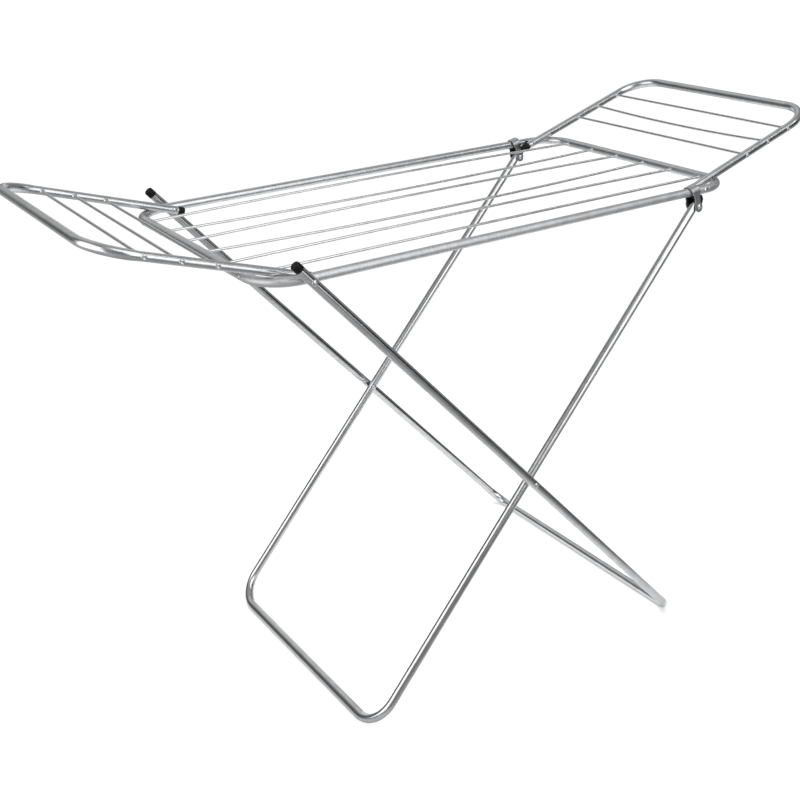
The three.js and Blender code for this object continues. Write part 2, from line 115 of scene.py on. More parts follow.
# ------------------------------------------------------------------ finishes
class NodeSheet:
    """A material's node tree, laid out from the coordinates to the surface."""

    NOISE_ROUGHNESS = 0.6
    NOISE_LIMITS = (0.3, 0.7)
    TINT_LIMITS = (0.35, 0.65)

    def __init__(self, name: str) -> None:
        """Starts an empty tree with one surface.

        Args:
            name: Name of the material.
        """
        self.material = bpy.data.materials.new(name)
        self.material.use_nodes = True
        self.tree = self.material.node_tree
        self.tree.nodes.clear()
        self.surface = self.add("ShaderNodeBsdfPrincipled")
        output = self.add("ShaderNodeOutputMaterial")
        self.join(self.surface, "BSDF", output, "Surface")

    def add(self, kind: str, **values: object) -> bpy.types.Node:
        """Adds a node.

        Args:
            kind: Blender's name of the node type.
            **values: Input values by socket name, with underscores for spaces.

        Returns:
            The new node.
        """
        node = self.tree.nodes.new(kind)
        for name, value in values.items():
            node.inputs[name.replace("_", " ")].default_value = value
        return node

    def join(self, source: bpy.types.Node, out: str, target: bpy.types.Node, into: str) -> None:
        """Links an output to an input by their names."""
        self.tree.links.new(source.outputs[out], target.inputs[into])

    def place(self, grain: Grain, stretch: Triple) -> bpy.types.Node:
        """Coordinates of the pattern.

        Args:
            grain: Where the coordinates come from.
            stretch: Scale of the pattern along each of its axes.

        Returns:
            A mapping node that gives the coordinates.
        """
        mapping = self.add("ShaderNodeMapping", Scale=stretch)
        if grain is Grain.DRAWN:
            source = self.add("ShaderNodeAttribute")
            source.attribute_name = grain.value
            self.join(source, "Vector", mapping, "Vector")
        else:
            source = self.add("ShaderNodeTexCoord")
            self.join(source, "Object", mapping, "Vector")
        return mapping

    def noise(self, place: bpy.types.Node, scale: float, detail: float) -> bpy.types.Node:
        """Noise over the given coordinates.

        Args:
            place: Node that gives the coordinates.
            scale: Blotches per metre.
            detail: Octaves.

        Returns:
            The noise node.
        """
        noise = self.add(
            "ShaderNodeTexNoise", Scale=scale, Detail=detail, Roughness=self.NOISE_ROUGHNESS
        )
        self.join(place, "Vector", noise, "Vector")
        return noise

    def spread(self, source: bpy.types.Node, low: float, high: float) -> bpy.types.Node:
        """Turns noise into a value between two limits.

        Args:
            source: Noise node.
            low: Value where the noise is lowest.
            high: Value where it is highest.

        Returns:
            A map range node.
        """
        faint, strong = self.NOISE_LIMITS
        spread = self.add(
            "ShaderNodeMapRange", From_Min=faint, From_Max=strong, To_Min=low, To_Max=high
        )
        self.join(source, "Fac", spread, "Value")
        return spread

    def tint(self, source: bpy.types.Node, dark: Triple, light: Triple) -> bpy.types.Node:
        """Turns noise into a colour between two tints.

        Args:
            source: Noise node.
            dark: Linear colour where the noise is low.
            light: Linear colour where it is high.

        Returns:
            A colour ramp node.
        """
        ramp = self.add("ShaderNodeValToRGB")
        stops = ramp.color_ramp.elements
        for stop, place, colour in zip(stops, self.TINT_LIMITS, (dark, light)):
            stop.position = place
            stop.color = (*colour, 1)
        self.join(source, "Fac", ramp, "Fac")
        return ramp

    def dent(self, source: bpy.types.Node, strength: float, depth: float) -> None:
        """Presses noise into the surface as a bump.

        Args:
            source: Noise node.
            strength: Share of the bump that shows.
            depth: Its depth in metres.
        """
        bump = self.add("ShaderNodeBump", Strength=strength, Distance=depth)
        self.join(source, "Fac", bump, "Height")
        self.join(bump, "Normal", self.surface, "Normal")


@dataclass(frozen=True)
class MetalFinish:
    """Plated steel: a tint that mottles a little, fine draw lines and a soft bump.

    Its roughness may rise by front_dulling towards the front, from one place along Y to another.
    """

    name: str
    slot: Slot
    dark: Triple
    light: Triple
    smoothest: float
    roughest: float
    grain: Grain = Grain.DRAWN
    line_stretch: Triple = (0.04, 1, 1)
    line_scale: float = 1400
    blotch_scale: float = 60
    front_dulling: float = 0.0
    dulling_from: float = -0.1
    dulling_to: float = -0.24
    bump: float = 0.05
    bump_depth: float = 0.00006

    def material(self) -> bpy.types.Material:
        """Builds the material.

        Returns:
            The finished material.
        """
        sheet = NodeSheet(self.name)
        sheet.surface.inputs["Metallic"].default_value = 1
        plain = sheet.place(self.grain, UNSTRETCHED)
        along = sheet.place(self.grain, self.line_stretch)
        blotches = sheet.noise(plain, self.blotch_scale, detail=3)
        lines = sheet.noise(along, self.line_scale, detail=2)
        tint = sheet.tint(blotches, self.dark, self.light)
        sheet.join(tint, "Color", sheet.surface, "Base Color")
        rough = sheet.spread(lines, self.smoothest, self.roughest)
        if self.front_dulling:
            sheet.join(self._dull_front(sheet, rough), "Value", sheet.surface, "Roughness")
        else:
            sheet.join(rough, "Result", sheet.surface, "Roughness")
        sheet.dent(lines, self.bump, self.bump_depth)
        return sheet.material

    def _dull_front(self, sheet: NodeSheet, rough: bpy.types.Node) -> bpy.types.Node:
        """Adds to a roughness towards the front.

        Args:
            sheet: The node tree in work.
            rough: Map range node that gives the roughness.

        Returns:
            A math node that gives the sum.
        """
        split = sheet.add("ShaderNodeSeparateXYZ")
        sheet.join(sheet.place(Grain.SOLID, UNSTRETCHED), "Vector", split, "Vector")
        front = sheet.add(
            "ShaderNodeMapRange",
            From_Min=self.dulling_from,
            From_Max=self.dulling_to,
            To_Max=self.front_dulling,
        )
        sheet.join(split, "Y", front, "Value")
        total = sheet.add("ShaderNodeMath")
        total.operation = "ADD"
        for node, term in zip((rough, front), total.inputs):
            sheet.tree.links.new(node.outputs["Result"], term)
        return total


@dataclass(frozen=True)
class PlasticFinish:
    """Moulded black plastic: fine spark-eroded grain, a low sheen and faint flow marks."""

    name: str
    slot: Slot
    dark: Triple
    light: Triple
    smoothest: float
    roughest: float
    grain_scale: float = 2600
    flow_scale: float = 90
    specular: float = 0.2
    bump: float = 0.25
    bump_depth: float = 0.00008

    def material(self) -> bpy.types.Material:
        """Builds the material.

        Returns:
            The finished material.
        """
        sheet = NodeSheet(self.name)
        sheet.surface.inputs["Specular IOR Level"].default_value = self.specular
        place = sheet.place(Grain.SOLID, UNSTRETCHED)
        grain = sheet.noise(place, self.grain_scale, detail=2)
        flow = sheet.noise(place, self.flow_scale, detail=2)
        sheet.join(sheet.tint(flow, self.dark, self.light), "Color", sheet.surface, "Base Color")
        rough = sheet.spread(flow, self.smoothest, self.roughest)
        sheet.join(rough, "Result", sheet.surface, "Roughness")
        sheet.dent(grain, self.bump, self.bump_depth)
        return sheet.material


Finish = MetalFinish | PlasticFinish

PLATED_TUBE = MetalFinish(
    name="plated_tube",
    slot=Slot.TUBE,
    dark=(0.60, 0.61, 0.62),
    light=(0.70, 0.71, 0.72),
    smoothest=0.12,
    roughest=0.24,
)
WING_TUBE = MetalFinish(
    name="wing_tube",
    slot=Slot.TUBE,
    dark=(0.58, 0.59, 0.60),
    light=(0.68, 0.69, 0.70),
    smoothest=0.18,
    roughest=0.28,
)
SATIN_TUBE = MetalFinish(
    name="satin_tube",
    slot=Slot.TUBE,
    dark=(0.60, 0.61, 0.62),
    light=(0.70, 0.71, 0.72),
    smoothest=0.24,
    roughest=0.34,
    front_dulling=0.2,
)
DRAWN_WIRE = MetalFinish(
    name="drawn_wire",
    slot=Slot.WIRE,
    dark=(0.66, 0.67, 0.68),
    light=(0.76, 0.77, 0.78),
    smoothest=0.16,
    roughest=0.3,
)
PRESSED_STRAP = MetalFinish(
    name="pressed_strap",
    slot=Slot.STRAP,
    dark=(0.5, 0.51, 0.52),
    light=(0.6, 0.61, 0.62),
    smoothest=0.26,
    roughest=0.38,
    grain=Grain.SOLID,
    line_stretch=(1, 0.08, 0.08),
)
TURNED_RIVET = MetalFinish(
    name="turned_rivet",
    slot=Slot.RIVET,
    dark=(0.62, 0.63, 0.64),
    light=(0.74, 0.75, 0.76),
    smoothest=0.14,
    roughest=0.28,
    grain=Grain.SOLID,
    line_stretch=UNSTRETCHED,
)
MOULDED_BLACK = PlasticFinish(
    name="moulded_black",
    slot=Slot.PLASTIC,
    dark=(0.003, 0.003, 0.0035),
    light=(0.006, 0.006, 0.0065),
    smoothest=0.36,
    roughest=0.5,
)


class Wardrobe:
    """Keeps one material for each finish."""

    def __init__(self) -> None:
        """Starts with no materials."""
        self._made: dict[str, bpy.types.Material] = {}

    def material(self, finish: Finish) -> bpy.types.Material:
        """Material of a finish, made the first time it is asked for.

        Args:
            finish: The finish.

        Returns:
            Its material.
        """
        if finish.name not in self._made:
            self._made[finish.name] = finish.material()
        return self._made[finish.name]


WARDROBE = Wardrobe()


# ------------------------------------------------------------------ modelling moves
class Bench:
    """The modelling moves, each made on the piece in work."""

    WELD = 1e-6
    SMOOTH_UNDER = math.radians(32)

    @staticmethod
    def clear() -> None:
        """Leaves edit mode and deselects everything."""
        if bpy.context.mode != "OBJECT":
            bpy.ops.object.mode_set(mode="OBJECT")
        bpy.ops.object.select_all(action="DESELECT")

    @staticmethod
    def hold(piece: bpy.types.Object) -> None:
        """Selects one object alone and makes it active.

        Args:
            piece: The object.
        """
        Bench.clear()
        piece.select_set(True)
        bpy.context.view_layer.objects.active = piece

    @staticmethod
    def edit(piece: bpy.types.Object) -> None:
        """Opens one object for editing, all of it selected.

        Args:
            piece: The object.
        """
        Bench.hold(piece)
        bpy.ops.object.mode_set(mode="EDIT")
        bpy.ops.mesh.select_mode(type="VERT")
        bpy.ops.mesh.select_all(action="SELECT")

    @staticmethod
    def ring(
        name: str,
        radius: float,
        sides: int,
        centre: Vector = ORIGIN,
        heading: Vector = AXIS_Z,
        filled: bool = False,
    ) -> bpy.types.Object:
        """Adds a ring as a new piece and opens it for editing.

        Args:
            name: Name of the piece.
            radius: Radius of the ring.
            sides: Number of its points.
            centre: Its centre.
            heading: Direction that it faces.
            filled: Whether it is a disc.

        Returns:
            The new piece, in edit mode with the ring selected.
        """
        Bench.clear()
        bpy.ops.mesh.primitive_circle_add(
            vertices=sides,
            radius=radius,
            fill_type="NGON" if filled else "NOTHING",
            location=centre,
            rotation=heading.to_track_quat("Z", "Y").to_euler(),
        )
        return Bench.name_and_open(name)

    @staticmethod
    def name_and_open(name: str) -> bpy.types.Object:
        """Names the newly added primitive, fixes its place and opens it for editing.

        Args:
            name: Its name.

        Returns:
            The primitive, in edit mode and all selected.
        """
        piece = bpy.context.active_object
        piece.name = name
        piece.data.name = name
        bpy.ops.object.transform_apply(location=True, rotation=True, scale=True)
        Bench.edit(piece)
        return piece

    @staticmethod
    def choose(piece: bpy.types.Object, test: Callable[[Vector], bool]) -> None:
        """Selects in edit mode the points that pass a test.

        Args:
            piece: The piece in work.
            test: Says of a place whether it is chosen.
        """
        bpy.ops.mesh.select_all(action="DESELECT")
        bpy.ops.object.mode_set(mode="OBJECT")
        for vertex in piece.data.vertices:
            vertex.select = test(vertex.co)
        bpy.ops.object.mode_set(mode="EDIT")

    @staticmethod
    def pull(by: Vector) -> None:
        """Extrudes what is selected along a vector."""
        bpy.ops.mesh.extrude_region_move(TRANSFORM_OT_translate={"value": tuple(by)})

    @staticmethod
    def scale(factors: Triple, about: Vector) -> None:
        """Scales what is selected about a point."""
        bpy.ops.transform.resize(value=factors, center_override=tuple(about))

    @staticmethod
    def scale_aside(factors: Triple, about: Vector, aside: Vector) -> None:
        """Scales what is selected along a level direction, across it and upwards."""
        axes = Matrix((aside, AXIS_Z.cross(aside), AXIS_Z)).transposed()
        bpy.ops.transform.resize(
            value=factors, orient_type="GLOBAL", orient_matrix=axes, center_override=tuple(about)
        )

    @staticmethod
    def sweep(angle: float, steps: int, centre: Vector, axis: Vector) -> None:
        """Extrudes what is selected around an axis through a centre, right-handed."""
        bpy.ops.mesh.spin(
            steps=steps, dupli=False, angle=angle, center=tuple(centre), axis=tuple(-axis)
        )

    @staticmethod
    def place(piece: bpy.types.Object, matrix: Matrix) -> None:
        """Moves a piece and leaves its object at the origin.

        Args:
            piece: The piece.
            matrix: Where it goes.
        """
        Bench.hold(piece)
        piece.matrix_world = matrix
        bpy.ops.object.transform_apply(location=True, rotation=True, scale=True)

    @staticmethod
    def copy(master: bpy.types.Object, name: str) -> bpy.types.Object:
        """Copies a piece with a mesh of its own.

        Args:
            master: The piece to copy.
            name: Name of the copy.

        Returns:
            The copy.
        """
        Bench.clear()
        twin = master.copy()
        twin.data = master.data.copy()
        twin.name = name
        twin.data.name = name
        bpy.context.scene.collection.objects.link(twin)
        return twin

    @staticmethod
    def discard(piece: bpy.types.Object) -> None:
        """Removes a helper or a master with its mesh.

        Args:
            piece: The helper or master.
        """
        Bench.clear()
        mesh = piece.data
        bpy.data.objects.remove(piece)
        bpy.data.meshes.remove(mesh)

    @staticmethod
    def close_up(piece: bpy.types.Object) -> None:
        """Welds the points, turns the faces outwards and smooths the round parts.

        Args:
            piece: The piece.
        """
        Bench.edit(piece)
        bpy.ops.mesh.remove_doubles(threshold=Bench.WELD)
        bpy.ops.mesh.normals_make_consistent(inside=False)
        Bench.hold(piece)
        bpy.ops.object.shade_smooth_by_angle(angle=Bench.SMOOTH_UNDER)

    @staticmethod
    def turned(name: str, profile: Profile, sides: int, bored: bool = False) -> bpy.types.Object:
        """A turned shape about the Z axis.

        Args:
            name: Name of the piece.
            profile: Radius and height pairs, from one end to the other.
            sides: Number of sides.
            bored: Whether the profile closes on itself round a bore.

        Returns:
            The finished piece.
        """
        radius, height = profile[0]
        piece = Bench.ring(name, radius, sides, Vector((0, 0, height)), filled=not bored)
        stations = [*profile[1:], profile[0]] if bored else profile[1:]
        for next_radius, next_height in stations:
            Bench.pull(Vector((0, 0, next_height - height)))
            factor = next_radius / radius
            Bench.scale((factor, factor, 1), Vector((0, 0, next_height)))
            radius, height = next_radius, next_height
        Bench.close_up(piece)
        return piece

    @staticmethod
    def finish_with(piece: bpy.types.Object, kind: str, **settings: object) -> None:
        """Adds a modifier, sets it and applies it.

        Args:
            piece: The piece.
            kind: Blender's name of the modifier type.
            **settings: Its settings.
        """
        Bench.hold(piece)
        modifier = piece.modifiers.new(kind.lower(), kind)
        for name, value in settings.items():
            setattr(modifier, name, value)
        bpy.ops.object.modifier_apply(modifier=modifier.name)

    @staticmethod
    def cut(piece: bpy.types.Object, cutters: Iterable[bpy.types.Object]) -> None:
        """Cuts several shapes out of a piece at once and removes them.

        Args:
            piece: The piece to cut.
            cutters: Shapes that don't touch one another.
        """
        tools = list(cutters)
        Bench.hold(tools[0])
        for tool in tools[1:]:
            tool.select_set(True)
        if len(tools) > 1:
            bpy.ops.object.join()
        Bench.finish_with(piece, "BOOLEAN", operation="DIFFERENCE", solver="EXACT", object=tools[0])
        Bench.discard(tools[0])

    @staticmethod
    def aimed(place: Vector, heading: Vector) -> Matrix:
        """Matrix that takes the origin to a place and the Z axis to a heading."""
        return Matrix.Translation(place) @ heading.to_track_quat("Z", "Y").to_matrix().to_4x4()

    @staticmethod
    def mark_drawing(piece: bpy.types.Object, along: Callable[[Vector], Vector]) -> None:
        """Stores on each point its place along the drawn stock, for the draw lines.

        Args:
            piece: A piece that still lies in its stock's own frame.
            along: Gives for a point its length along the stock, and its offsets aside and up.
        """
        store = piece.data.attributes.new(Grain.DRAWN.value, "FLOAT_VECTOR", "POINT")
        for vertex in piece.data.vertices:
            store.data[vertex.index].vector = along(vertex.co)

    @staticmethod
    def soften(piece: bpy.types.Object, width: float, angle: float) -> None:
        """Bevels the edges that are sharper than an angle and evens out the shading.

        Args:
            piece: The piece.
            width: Width of the bevels.
            angle: The angle in radians.
        """
        Bench.finish_with(
            piece, "BEVEL", width=width, segments=2, limit_method="ANGLE", angle_limit=angle
        )
        Bench.close_up(piece)
        Bench.finish_with(piece, "WEIGHTED_NORMAL", keep_sharp=True)


# ------------------------------------------------------------------ bent tubes
@dataclass(frozen=True)
class Run:
    """A straight stretch of tube, with extra rings where it is drilled."""

    length: float
    drilled: tuple[float, ...] = ()


@dataclass(frozen=True)
class Bend:
    """A bend to the left."""

    radius: float
    angle: float = QUARTER_TURN


@dataclass(frozen=True)
class TubePath:
    """Centreline of a tube in the XY plane, made of runs and bends."""

    start: Vector
    heading: Vector
    moves: tuple[Run | Bend, ...]

    def legs(self) -> list[tuple[Run | Bend, Vector, Vector, float]]:
        """Each move with its start, its heading there and the length before it.

        Returns:
            The moves in order.
        """
        place = self.start.copy()
        heading = self.heading.copy()
        done = 0.0
        legs = []
        for move in self.moves:
            legs.append((move, place.copy(), heading.copy(), done))
            if isinstance(move, Run):
                place = place + heading * move.length
                done += move.length
            else:
                left = AXIS_Z.cross(heading)
                centre = place + left * move.radius
                turn = Matrix.Rotation(move.angle, 3, "Z")
                place = centre + turn @ (place - centre)
                heading = turn @ heading
                done += move.radius * move.angle
        return legs

    def along(self, point: Vector) -> Vector:
        """Place of a point of the tube: length along it, offset aside and offset up.

        Args:
            point: A point in the frame of the tube's own plane.

        Returns:
            The three distances.
        """
        best = None
        for move, place, heading, done in self.legs():
            left = AXIS_Z.cross(heading)
            offset = point - place
            if isinstance(move, Run):
                reach = min(max(offset.dot(heading), 0), move.length)
                aside = offset.dot(left)
                missed = abs(offset.dot(heading) - reach)
            else:
                arm = offset - left * move.radius
                arm.z = 0
                angle = math.atan2(arm.dot(heading), -arm.dot(left))
                turned = min(max(angle, 0), move.angle)
                reach = move.radius * turned
                aside = move.radius - arm.length
                missed = abs(angle - turned) * move.radius
            cost = missed + abs(aside)
            if best is None or cost < best[0]:
                best = (cost, Vector((done + reach, aside, point.z)))
        return best[1]


@dataclass(frozen=True)
class TubeStock:
    """Round tube as bought, and how it is drilled."""

    radius: float
    wall: float = 0.8 * MM
    sides: int = 40
    bend_steps: int = 18
    flattening: float = 0.16
    swelling: float = 0.0
    bore_depth: float = 6 * MM
    ring_margin: float = 7 * MM
    seat_depth: float = 0.7 * MM
    wire_hole: float = 2.6 * MM
    wire_seat: float = 4.7 * MM
    rivet_hole: float = 2.7 * MM
    rivet_seat: float = 5.3 * MM
    overshoot: float = 3 * MM
    hole_sides: int = 24

    @property
    def seat(self) -> float:
        """Distance from the centreline to the flat pressed around a hole."""
        return self.radius - self.seat_depth

    def shape(self, name: str, path: TubePath, closed: bool = False) -> bpy.types.Object:
        """Bends a tube along a path.

        Args:
            name: Name of the piece.
            path: Its centreline.
            closed: Whether the path comes back to its start.

        Returns:
            The tube, with a short bore in each end if it is open.
        """
        piece = Bench.ring(name, self.radius, self.sides, path.start, path.heading)
        heading = path.heading
        for move, place, heading, _ in path.legs():
            if isinstance(move, Run):
                self._pull_run(move, heading)
            else:
                self._pull_bend(move, place, heading)
        if not closed:
            self._bore(-heading)
            bpy.ops.mesh.select_all(action="DESELECT")
            bpy.ops.mesh.select_non_manifold(extend=False)
            self._bore(path.heading)
        Bench.close_up(piece)
        return piece

    def _pull_run(self, run: Run, heading: Vector) -> None:
        """Extrudes a straight run, ring by ring.

        Args:
            run: The run.
            heading: Its direction.
        """
        rings = {run.length}
        for centre in run.drilled:
            rings.update((centre - self.ring_margin, centre + self.ring_margin))
        done = 0.0
        for ring in sorted(r for r in rings if 0 < r <= run.length):
            Bench.pull(heading * (ring - done))
            done = ring

    def _pull_bend(self, bend: Bend, place: Vector, heading: Vector) -> None:
        """Extrudes a bend, ring by ring; its outer side is flattened, most in the middle.

        Args:
            bend: The bend.
            place: Where it starts.
            heading: Direction of the tube there.
        """
        arm = AXIS_Z.cross(heading) * -bend.radius
        centre = place - arm
        depth = height = 1.0
        turn = bend.angle / self.bend_steps
        for step in range(1, self.bend_steps + 1):
            Bench.sweep(turn, 1, centre, AXIS_Z)
            arm = Matrix.Rotation(turn, 3, "Z") @ arm
            rise = math.sin(HALF_TURN * step / self.bend_steps)
            ease = math.sqrt(rise) if step < self.bend_steps else 0
            next_depth = 1 - self.flattening * ease
            next_height = 1 + self.swelling * ease
            factors = (next_depth / depth, 1, next_height / height)
            Bench.scale_aside(factors, centre + arm, arm.normalized())
            depth, height = next_depth, next_height

    def _bore(self, inward: Vector) -> None:
        """Fills the selected end ring and sinks a bore into it.

        Args:
            inward: Direction into the tube.
        """
        bpy.ops.mesh.edge_face_add()
        bpy.ops.mesh.select_mode(type="FACE")
        bpy.ops.mesh.inset(thickness=self.wall)
        Bench.pull(inward * self.bore_depth)
        bpy.ops.mesh.select_mode(type="VERT")

    def wire_drill(self, place: Vector, outward: Vector) -> bpy.types.Object:
        """Cutter for a wire's hole with the flat under its head.

        Args:
            place: Point of the centreline.
            outward: Direction of the head.

        Returns:
            The cutter.
        """
        far = self.radius + self.overshoot
        profile = [
            (self.wire_hole, -far), (self.wire_hole, self.seat), (self.wire_seat, self.seat),
            (self.wire_seat, far),
        ]
        return self._aim(profile, place, outward)

    def rivet_drill(self, place: Vector, outward: Vector) -> bpy.types.Object:
        """Cutter for a rivet's hole with a flat on both sides.

        Args:
            place: Point of the centreline.
            outward: Direction of the rivet.

        Returns:
            The cutter.
        """
        far = self.radius + self.overshoot
        profile = [
            (self.rivet_seat, -far), (self.rivet_seat, -self.seat), (self.rivet_hole, -self.seat),
            (self.rivet_hole, self.seat), (self.rivet_seat, self.seat), (self.rivet_seat, far),
        ]
        return self._aim(profile, place, outward)

    def _aim(self, profile: Profile, place: Vector, outward: Vector) -> bpy.types.Object:
        """Turns a cutter and puts it in place.

        Args:
            profile: Radius and height pairs of the cutter.
            place: Where its middle goes.
            outward: Direction of its upper end.

        Returns:
            The cutter.
        """
        cutter = Bench.turned("drill", profile, self.hole_sides)
        Bench.place(cutter, Bench.aimed(place, outward))
        return cutter

    @staticmethod
    def drill(
        tube: bpy.types.Object, path: TubePath, drills: Iterable[bpy.types.Object]
    ) -> None:
        """Drills a tube and marks its drawing.

        Args:
            tube: A tube that still lies in its own plane.
            path: Its centreline.
            drills: The cutters.
        """
        Bench.cut(tube, drills)
        Bench.close_up(tube)
        Bench.mark_drawing(tube, path.along)


RAIL_STOCK = TubeStock(radius=7.846 * MM)
LEG_STOCK = TubeStock(radius=7.846 * MM, swelling=0.08)
WING_STOCK = TubeStock(radius=7.356 * MM, flattening=0.22, swelling=0.14)


# ------------------------------------------------------------------ wires
@dataclass(frozen=True)
class WireStock:
    """Drawn wire whose ends are upset over the tubes that carry them.

    The outlines give a share of the dimple's, the head's or the bead's radius, and with it a
    distance below the head's top or inward from the bead's start. On the dimple's floor that
    distance is a share of the dimple's depth.
    """

    radius: float = 2.4 * MM
    sides: int = 24
    head_radius: float = 4.25 * MM
    head_height: float = 2.25 * MM
    dimple_radius: float = 1.9 * MM
    dimple_depth: float = 2.6 * MM
    dimple_floor: Profile = ((0.5, 1.0), (1.0, 0.85))
    dimple_mouth: Profile = ((1.05, 0.3 * MM), (1.25, 0.06 * MM))
    head_outline: Profile = (
        (0.66, 0.0), (0.82, 0.12 * MM), (0.94, 0.45 * MM), (1.0, 0.95 * MM), (0.97, 1.4 * MM),
    )
    head_foot: float = 0.84
    head_gap: float = 0.05 * MM
    bead_radius: float = 4.2 * MM
    bead_length: float = 3 * MM
    bead_sink: float = 0.35 * MM
    bead_outline: Profile = (
        (0.8, 0.05 * MM), (0.97, 0.7 * MM), (1.0, 1.2 * MM), (0.93, 1.9 * MM), (0.76, 2.5 * MM),
    )
    bead_foot: float = 1.05
    bead_clear: float = 1 * MM
    bow_steps: int = 24

    def head_profile(self, seat: float) -> list[tuple[float, float]]:
        """Radius and distance pairs of a head, from its dimple to the flat under it.

        Args:
            seat: Distance of the flat from the middle of the wire.

        Returns:
            The profile.
        """
        top = seat + self.head_height
        foot = seat + self.head_gap
        dimple, rim = self.dimple_radius, self.head_radius
        return [
            *((dimple * part, top - self.dimple_depth * depth) for part, depth in self.dimple_floor),
            *((dimple * part, top - drop) for part, drop in self.dimple_mouth),
            *((rim * part, top - drop) for part, drop in self.head_outline),
            (rim * self.head_foot, foot),
            (self.radius, foot),
        ]

    def bead_profile(self, face: float) -> list[tuple[float, float]]:
        """Radius and distance pairs of the bead where the wire leaves its tube.

        Args:
            face: Distance of the tube's inner face from the middle of the wire.

        Returns:
            The profile.
        """
        start = face + self.bead_sink
        return [
            (self.radius, start),
            *((self.bead_radius * part, start - inward) for part, inward in self.bead_outline),
            (self.radius * self.bead_foot, start - self.bead_length),
        ]

    def shape(self, name: str, half_span: float, tube: TubeStock, bow: float) -> bpy.types.Object:
        """Shapes a wire along the X axis.

        Args:
            name: Name of the piece.
            half_span: Half the distance between the tubes' centrelines.
            tube: The tubes that carry it.
            bow: Rise at mid span.

        Returns:
            The finished wire.
        """
        face = half_span - tube.radius
        half = self.head_profile(half_span + tube.seat) + self.bead_profile(face)
        free = half[-1][1] - self.bead_clear
        steps = self.bow_steps if bow else 2
        middle = [(self.radius, free * (1 - 2 * step / steps)) for step in range(steps + 1)]
        profile = half + middle + [(radius, -x) for radius, x in reversed(half)]
        radius, x = profile[0]
        piece = Bench.ring(name, radius, self.sides, Vector((x, 0, 0)), AXIS_X, filled=True)
        height = 0.0
        for next_radius, next_x in profile[1:]:
            rise = bow * max(0.0, 1 - (next_x / face) ** 2)
            centre = Vector((next_x, 0, rise))
            Bench.pull(Vector((next_x - x, 0, rise - height)))
            factor = next_radius / radius
            Bench.scale((1, factor, factor), centre)
            radius, x, height = next_radius, next_x, rise
        Bench.close_up(piece)
        Bench.mark_drawing(piece, lambda point: point)
        return piece


WIRE_STOCK = WireStock()


# ------------------------------------------------------------------ rivets, washers and caps
@dataclass(frozen=True)
class RivetStock:
    """Domed rivet with a small dimple in the middle of each head.

    The dome's outline gives shares of the head's radius and height.
    """

    shank: float = 2.45 * MM
    head: float = 5 * MM
    height: float = 2.15 * MM
    dome: Profile = (
        (0.09, 0.74), (0.15, 0.8), (0.23, 1.0), (0.36, 0.97), (0.56, 0.86), (0.76, 0.66),
        (0.9, 0.42), (0.97, 0.22), (1.0, 0.05), (0.98, 0.0),
    )
    sides: int = 32

    def shape(self, name: str, low: float, high: float) -> bpy.types.Object:
        """Turns a rivet about the Z axis.

        Args:
            name: Name of the piece.
            low: Height of the face under its lower head.
            high: Height of the face under its upper head.

        Returns:
            The finished rivet.
        """
        lower = [(r * self.head, low - h * self.height) for r, h in self.dome]
        upper = [(r * self.head, high + h * self.height) for r, h in reversed(self.dome)]
        profile = [*lower, (self.shank, low), (self.shank, high), *upper]
        return Bench.turned(name, profile, self.sides)


@dataclass(frozen=True)
class WasherStock:
    """Moulded washer or spacer with softened edges."""

    bore: float = 2.7 * MM
    rim: float = 5 * MM
    edge: float = 0.5 * MM
    edge_middle: float = 0.3
    sides: int = 32

    def shape(self, name: str, low: float, high: float) -> bpy.types.Object:
        """Turns a washer about the Z axis.

        Args:
            name: Name of the piece.
            low: Height of its lower face.
            high: Height of its upper face.

        Returns:
            The finished washer.
        """
        rim, edge = self.rim, self.edge
        middle = edge * self.edge_middle
        profile = [
            (self.bore, low), (rim - edge, low), (rim - middle, low + middle), (rim, low + edge),
            (rim, high - edge), (rim - middle, high - middle), (rim - edge, high), (self.bore, high),
        ]
        return Bench.turned(name, profile, self.sides, bored=True)


@dataclass(frozen=True)
class CapStock:
    """Black end cap: a spigot in the tube, a thin lip at its mouth and a rounded crown."""

    tube: TubeStock
    length: float
    proud: float = 0.3 * MM
    crown: float = 3.4 * MM
    crown_flat: float = 0.6 * MM
    lip: float = 1.6 * MM
    lip_edge: float = 0.15 * MM
    lip_slope: float = 0.3 * MM
    set_back: float = 0.22 * MM
    spigot: float = 5 * MM
    spigot_lead: float = 0.6 * MM
    play: float = 0.3 * MM
    sides: int = 36
    crown_steps: int = 7
    crown_left: float = 0.6

    def shape(self, name: str) -> bpy.types.Object:
        """Turns a cap on a tube end at the origin, pointing along +Z.

        Args:
            name: Name of the piece.

        Returns:
            The finished cap.
        """
        bore = self.tube.radius - self.tube.wall - self.play
        rim = self.tube.radius + self.proud
        body = rim - self.set_back
        profile = [
            (bore - self.spigot_lead, -self.spigot),
            (bore, -self.spigot + self.spigot_lead),
            (bore, self.play),
            (rim - self.lip_edge, self.play),
            (rim, self.play + self.lip_edge),
            (rim, self.lip),
            (body, self.lip + self.lip_slope),
        ]
        base = self.length - self.crown
        for step in range(self.crown_steps + 1):
            angle = QUARTER_TURN * step / (self.crown_steps + self.crown_left)
            inset = self.crown * (1 - math.cos(angle))
            profile.append((body - inset, base + self.crown * math.sin(angle)))
        profile.append((body - self.crown - self.crown_flat, self.length))
        return Bench.turned(name, profile, self.sides)


RIVET_STOCK = RivetStock()
WASHER_STOCK = WasherStock()


# ------------------------------------------------------------------ sub-assemblies
@dataclass
class Fitted:
    """A piece with its finish, its body and the solid that it stands for."""

    piece: bpy.types.Object
    finish: Finish
    body: str
    node: str


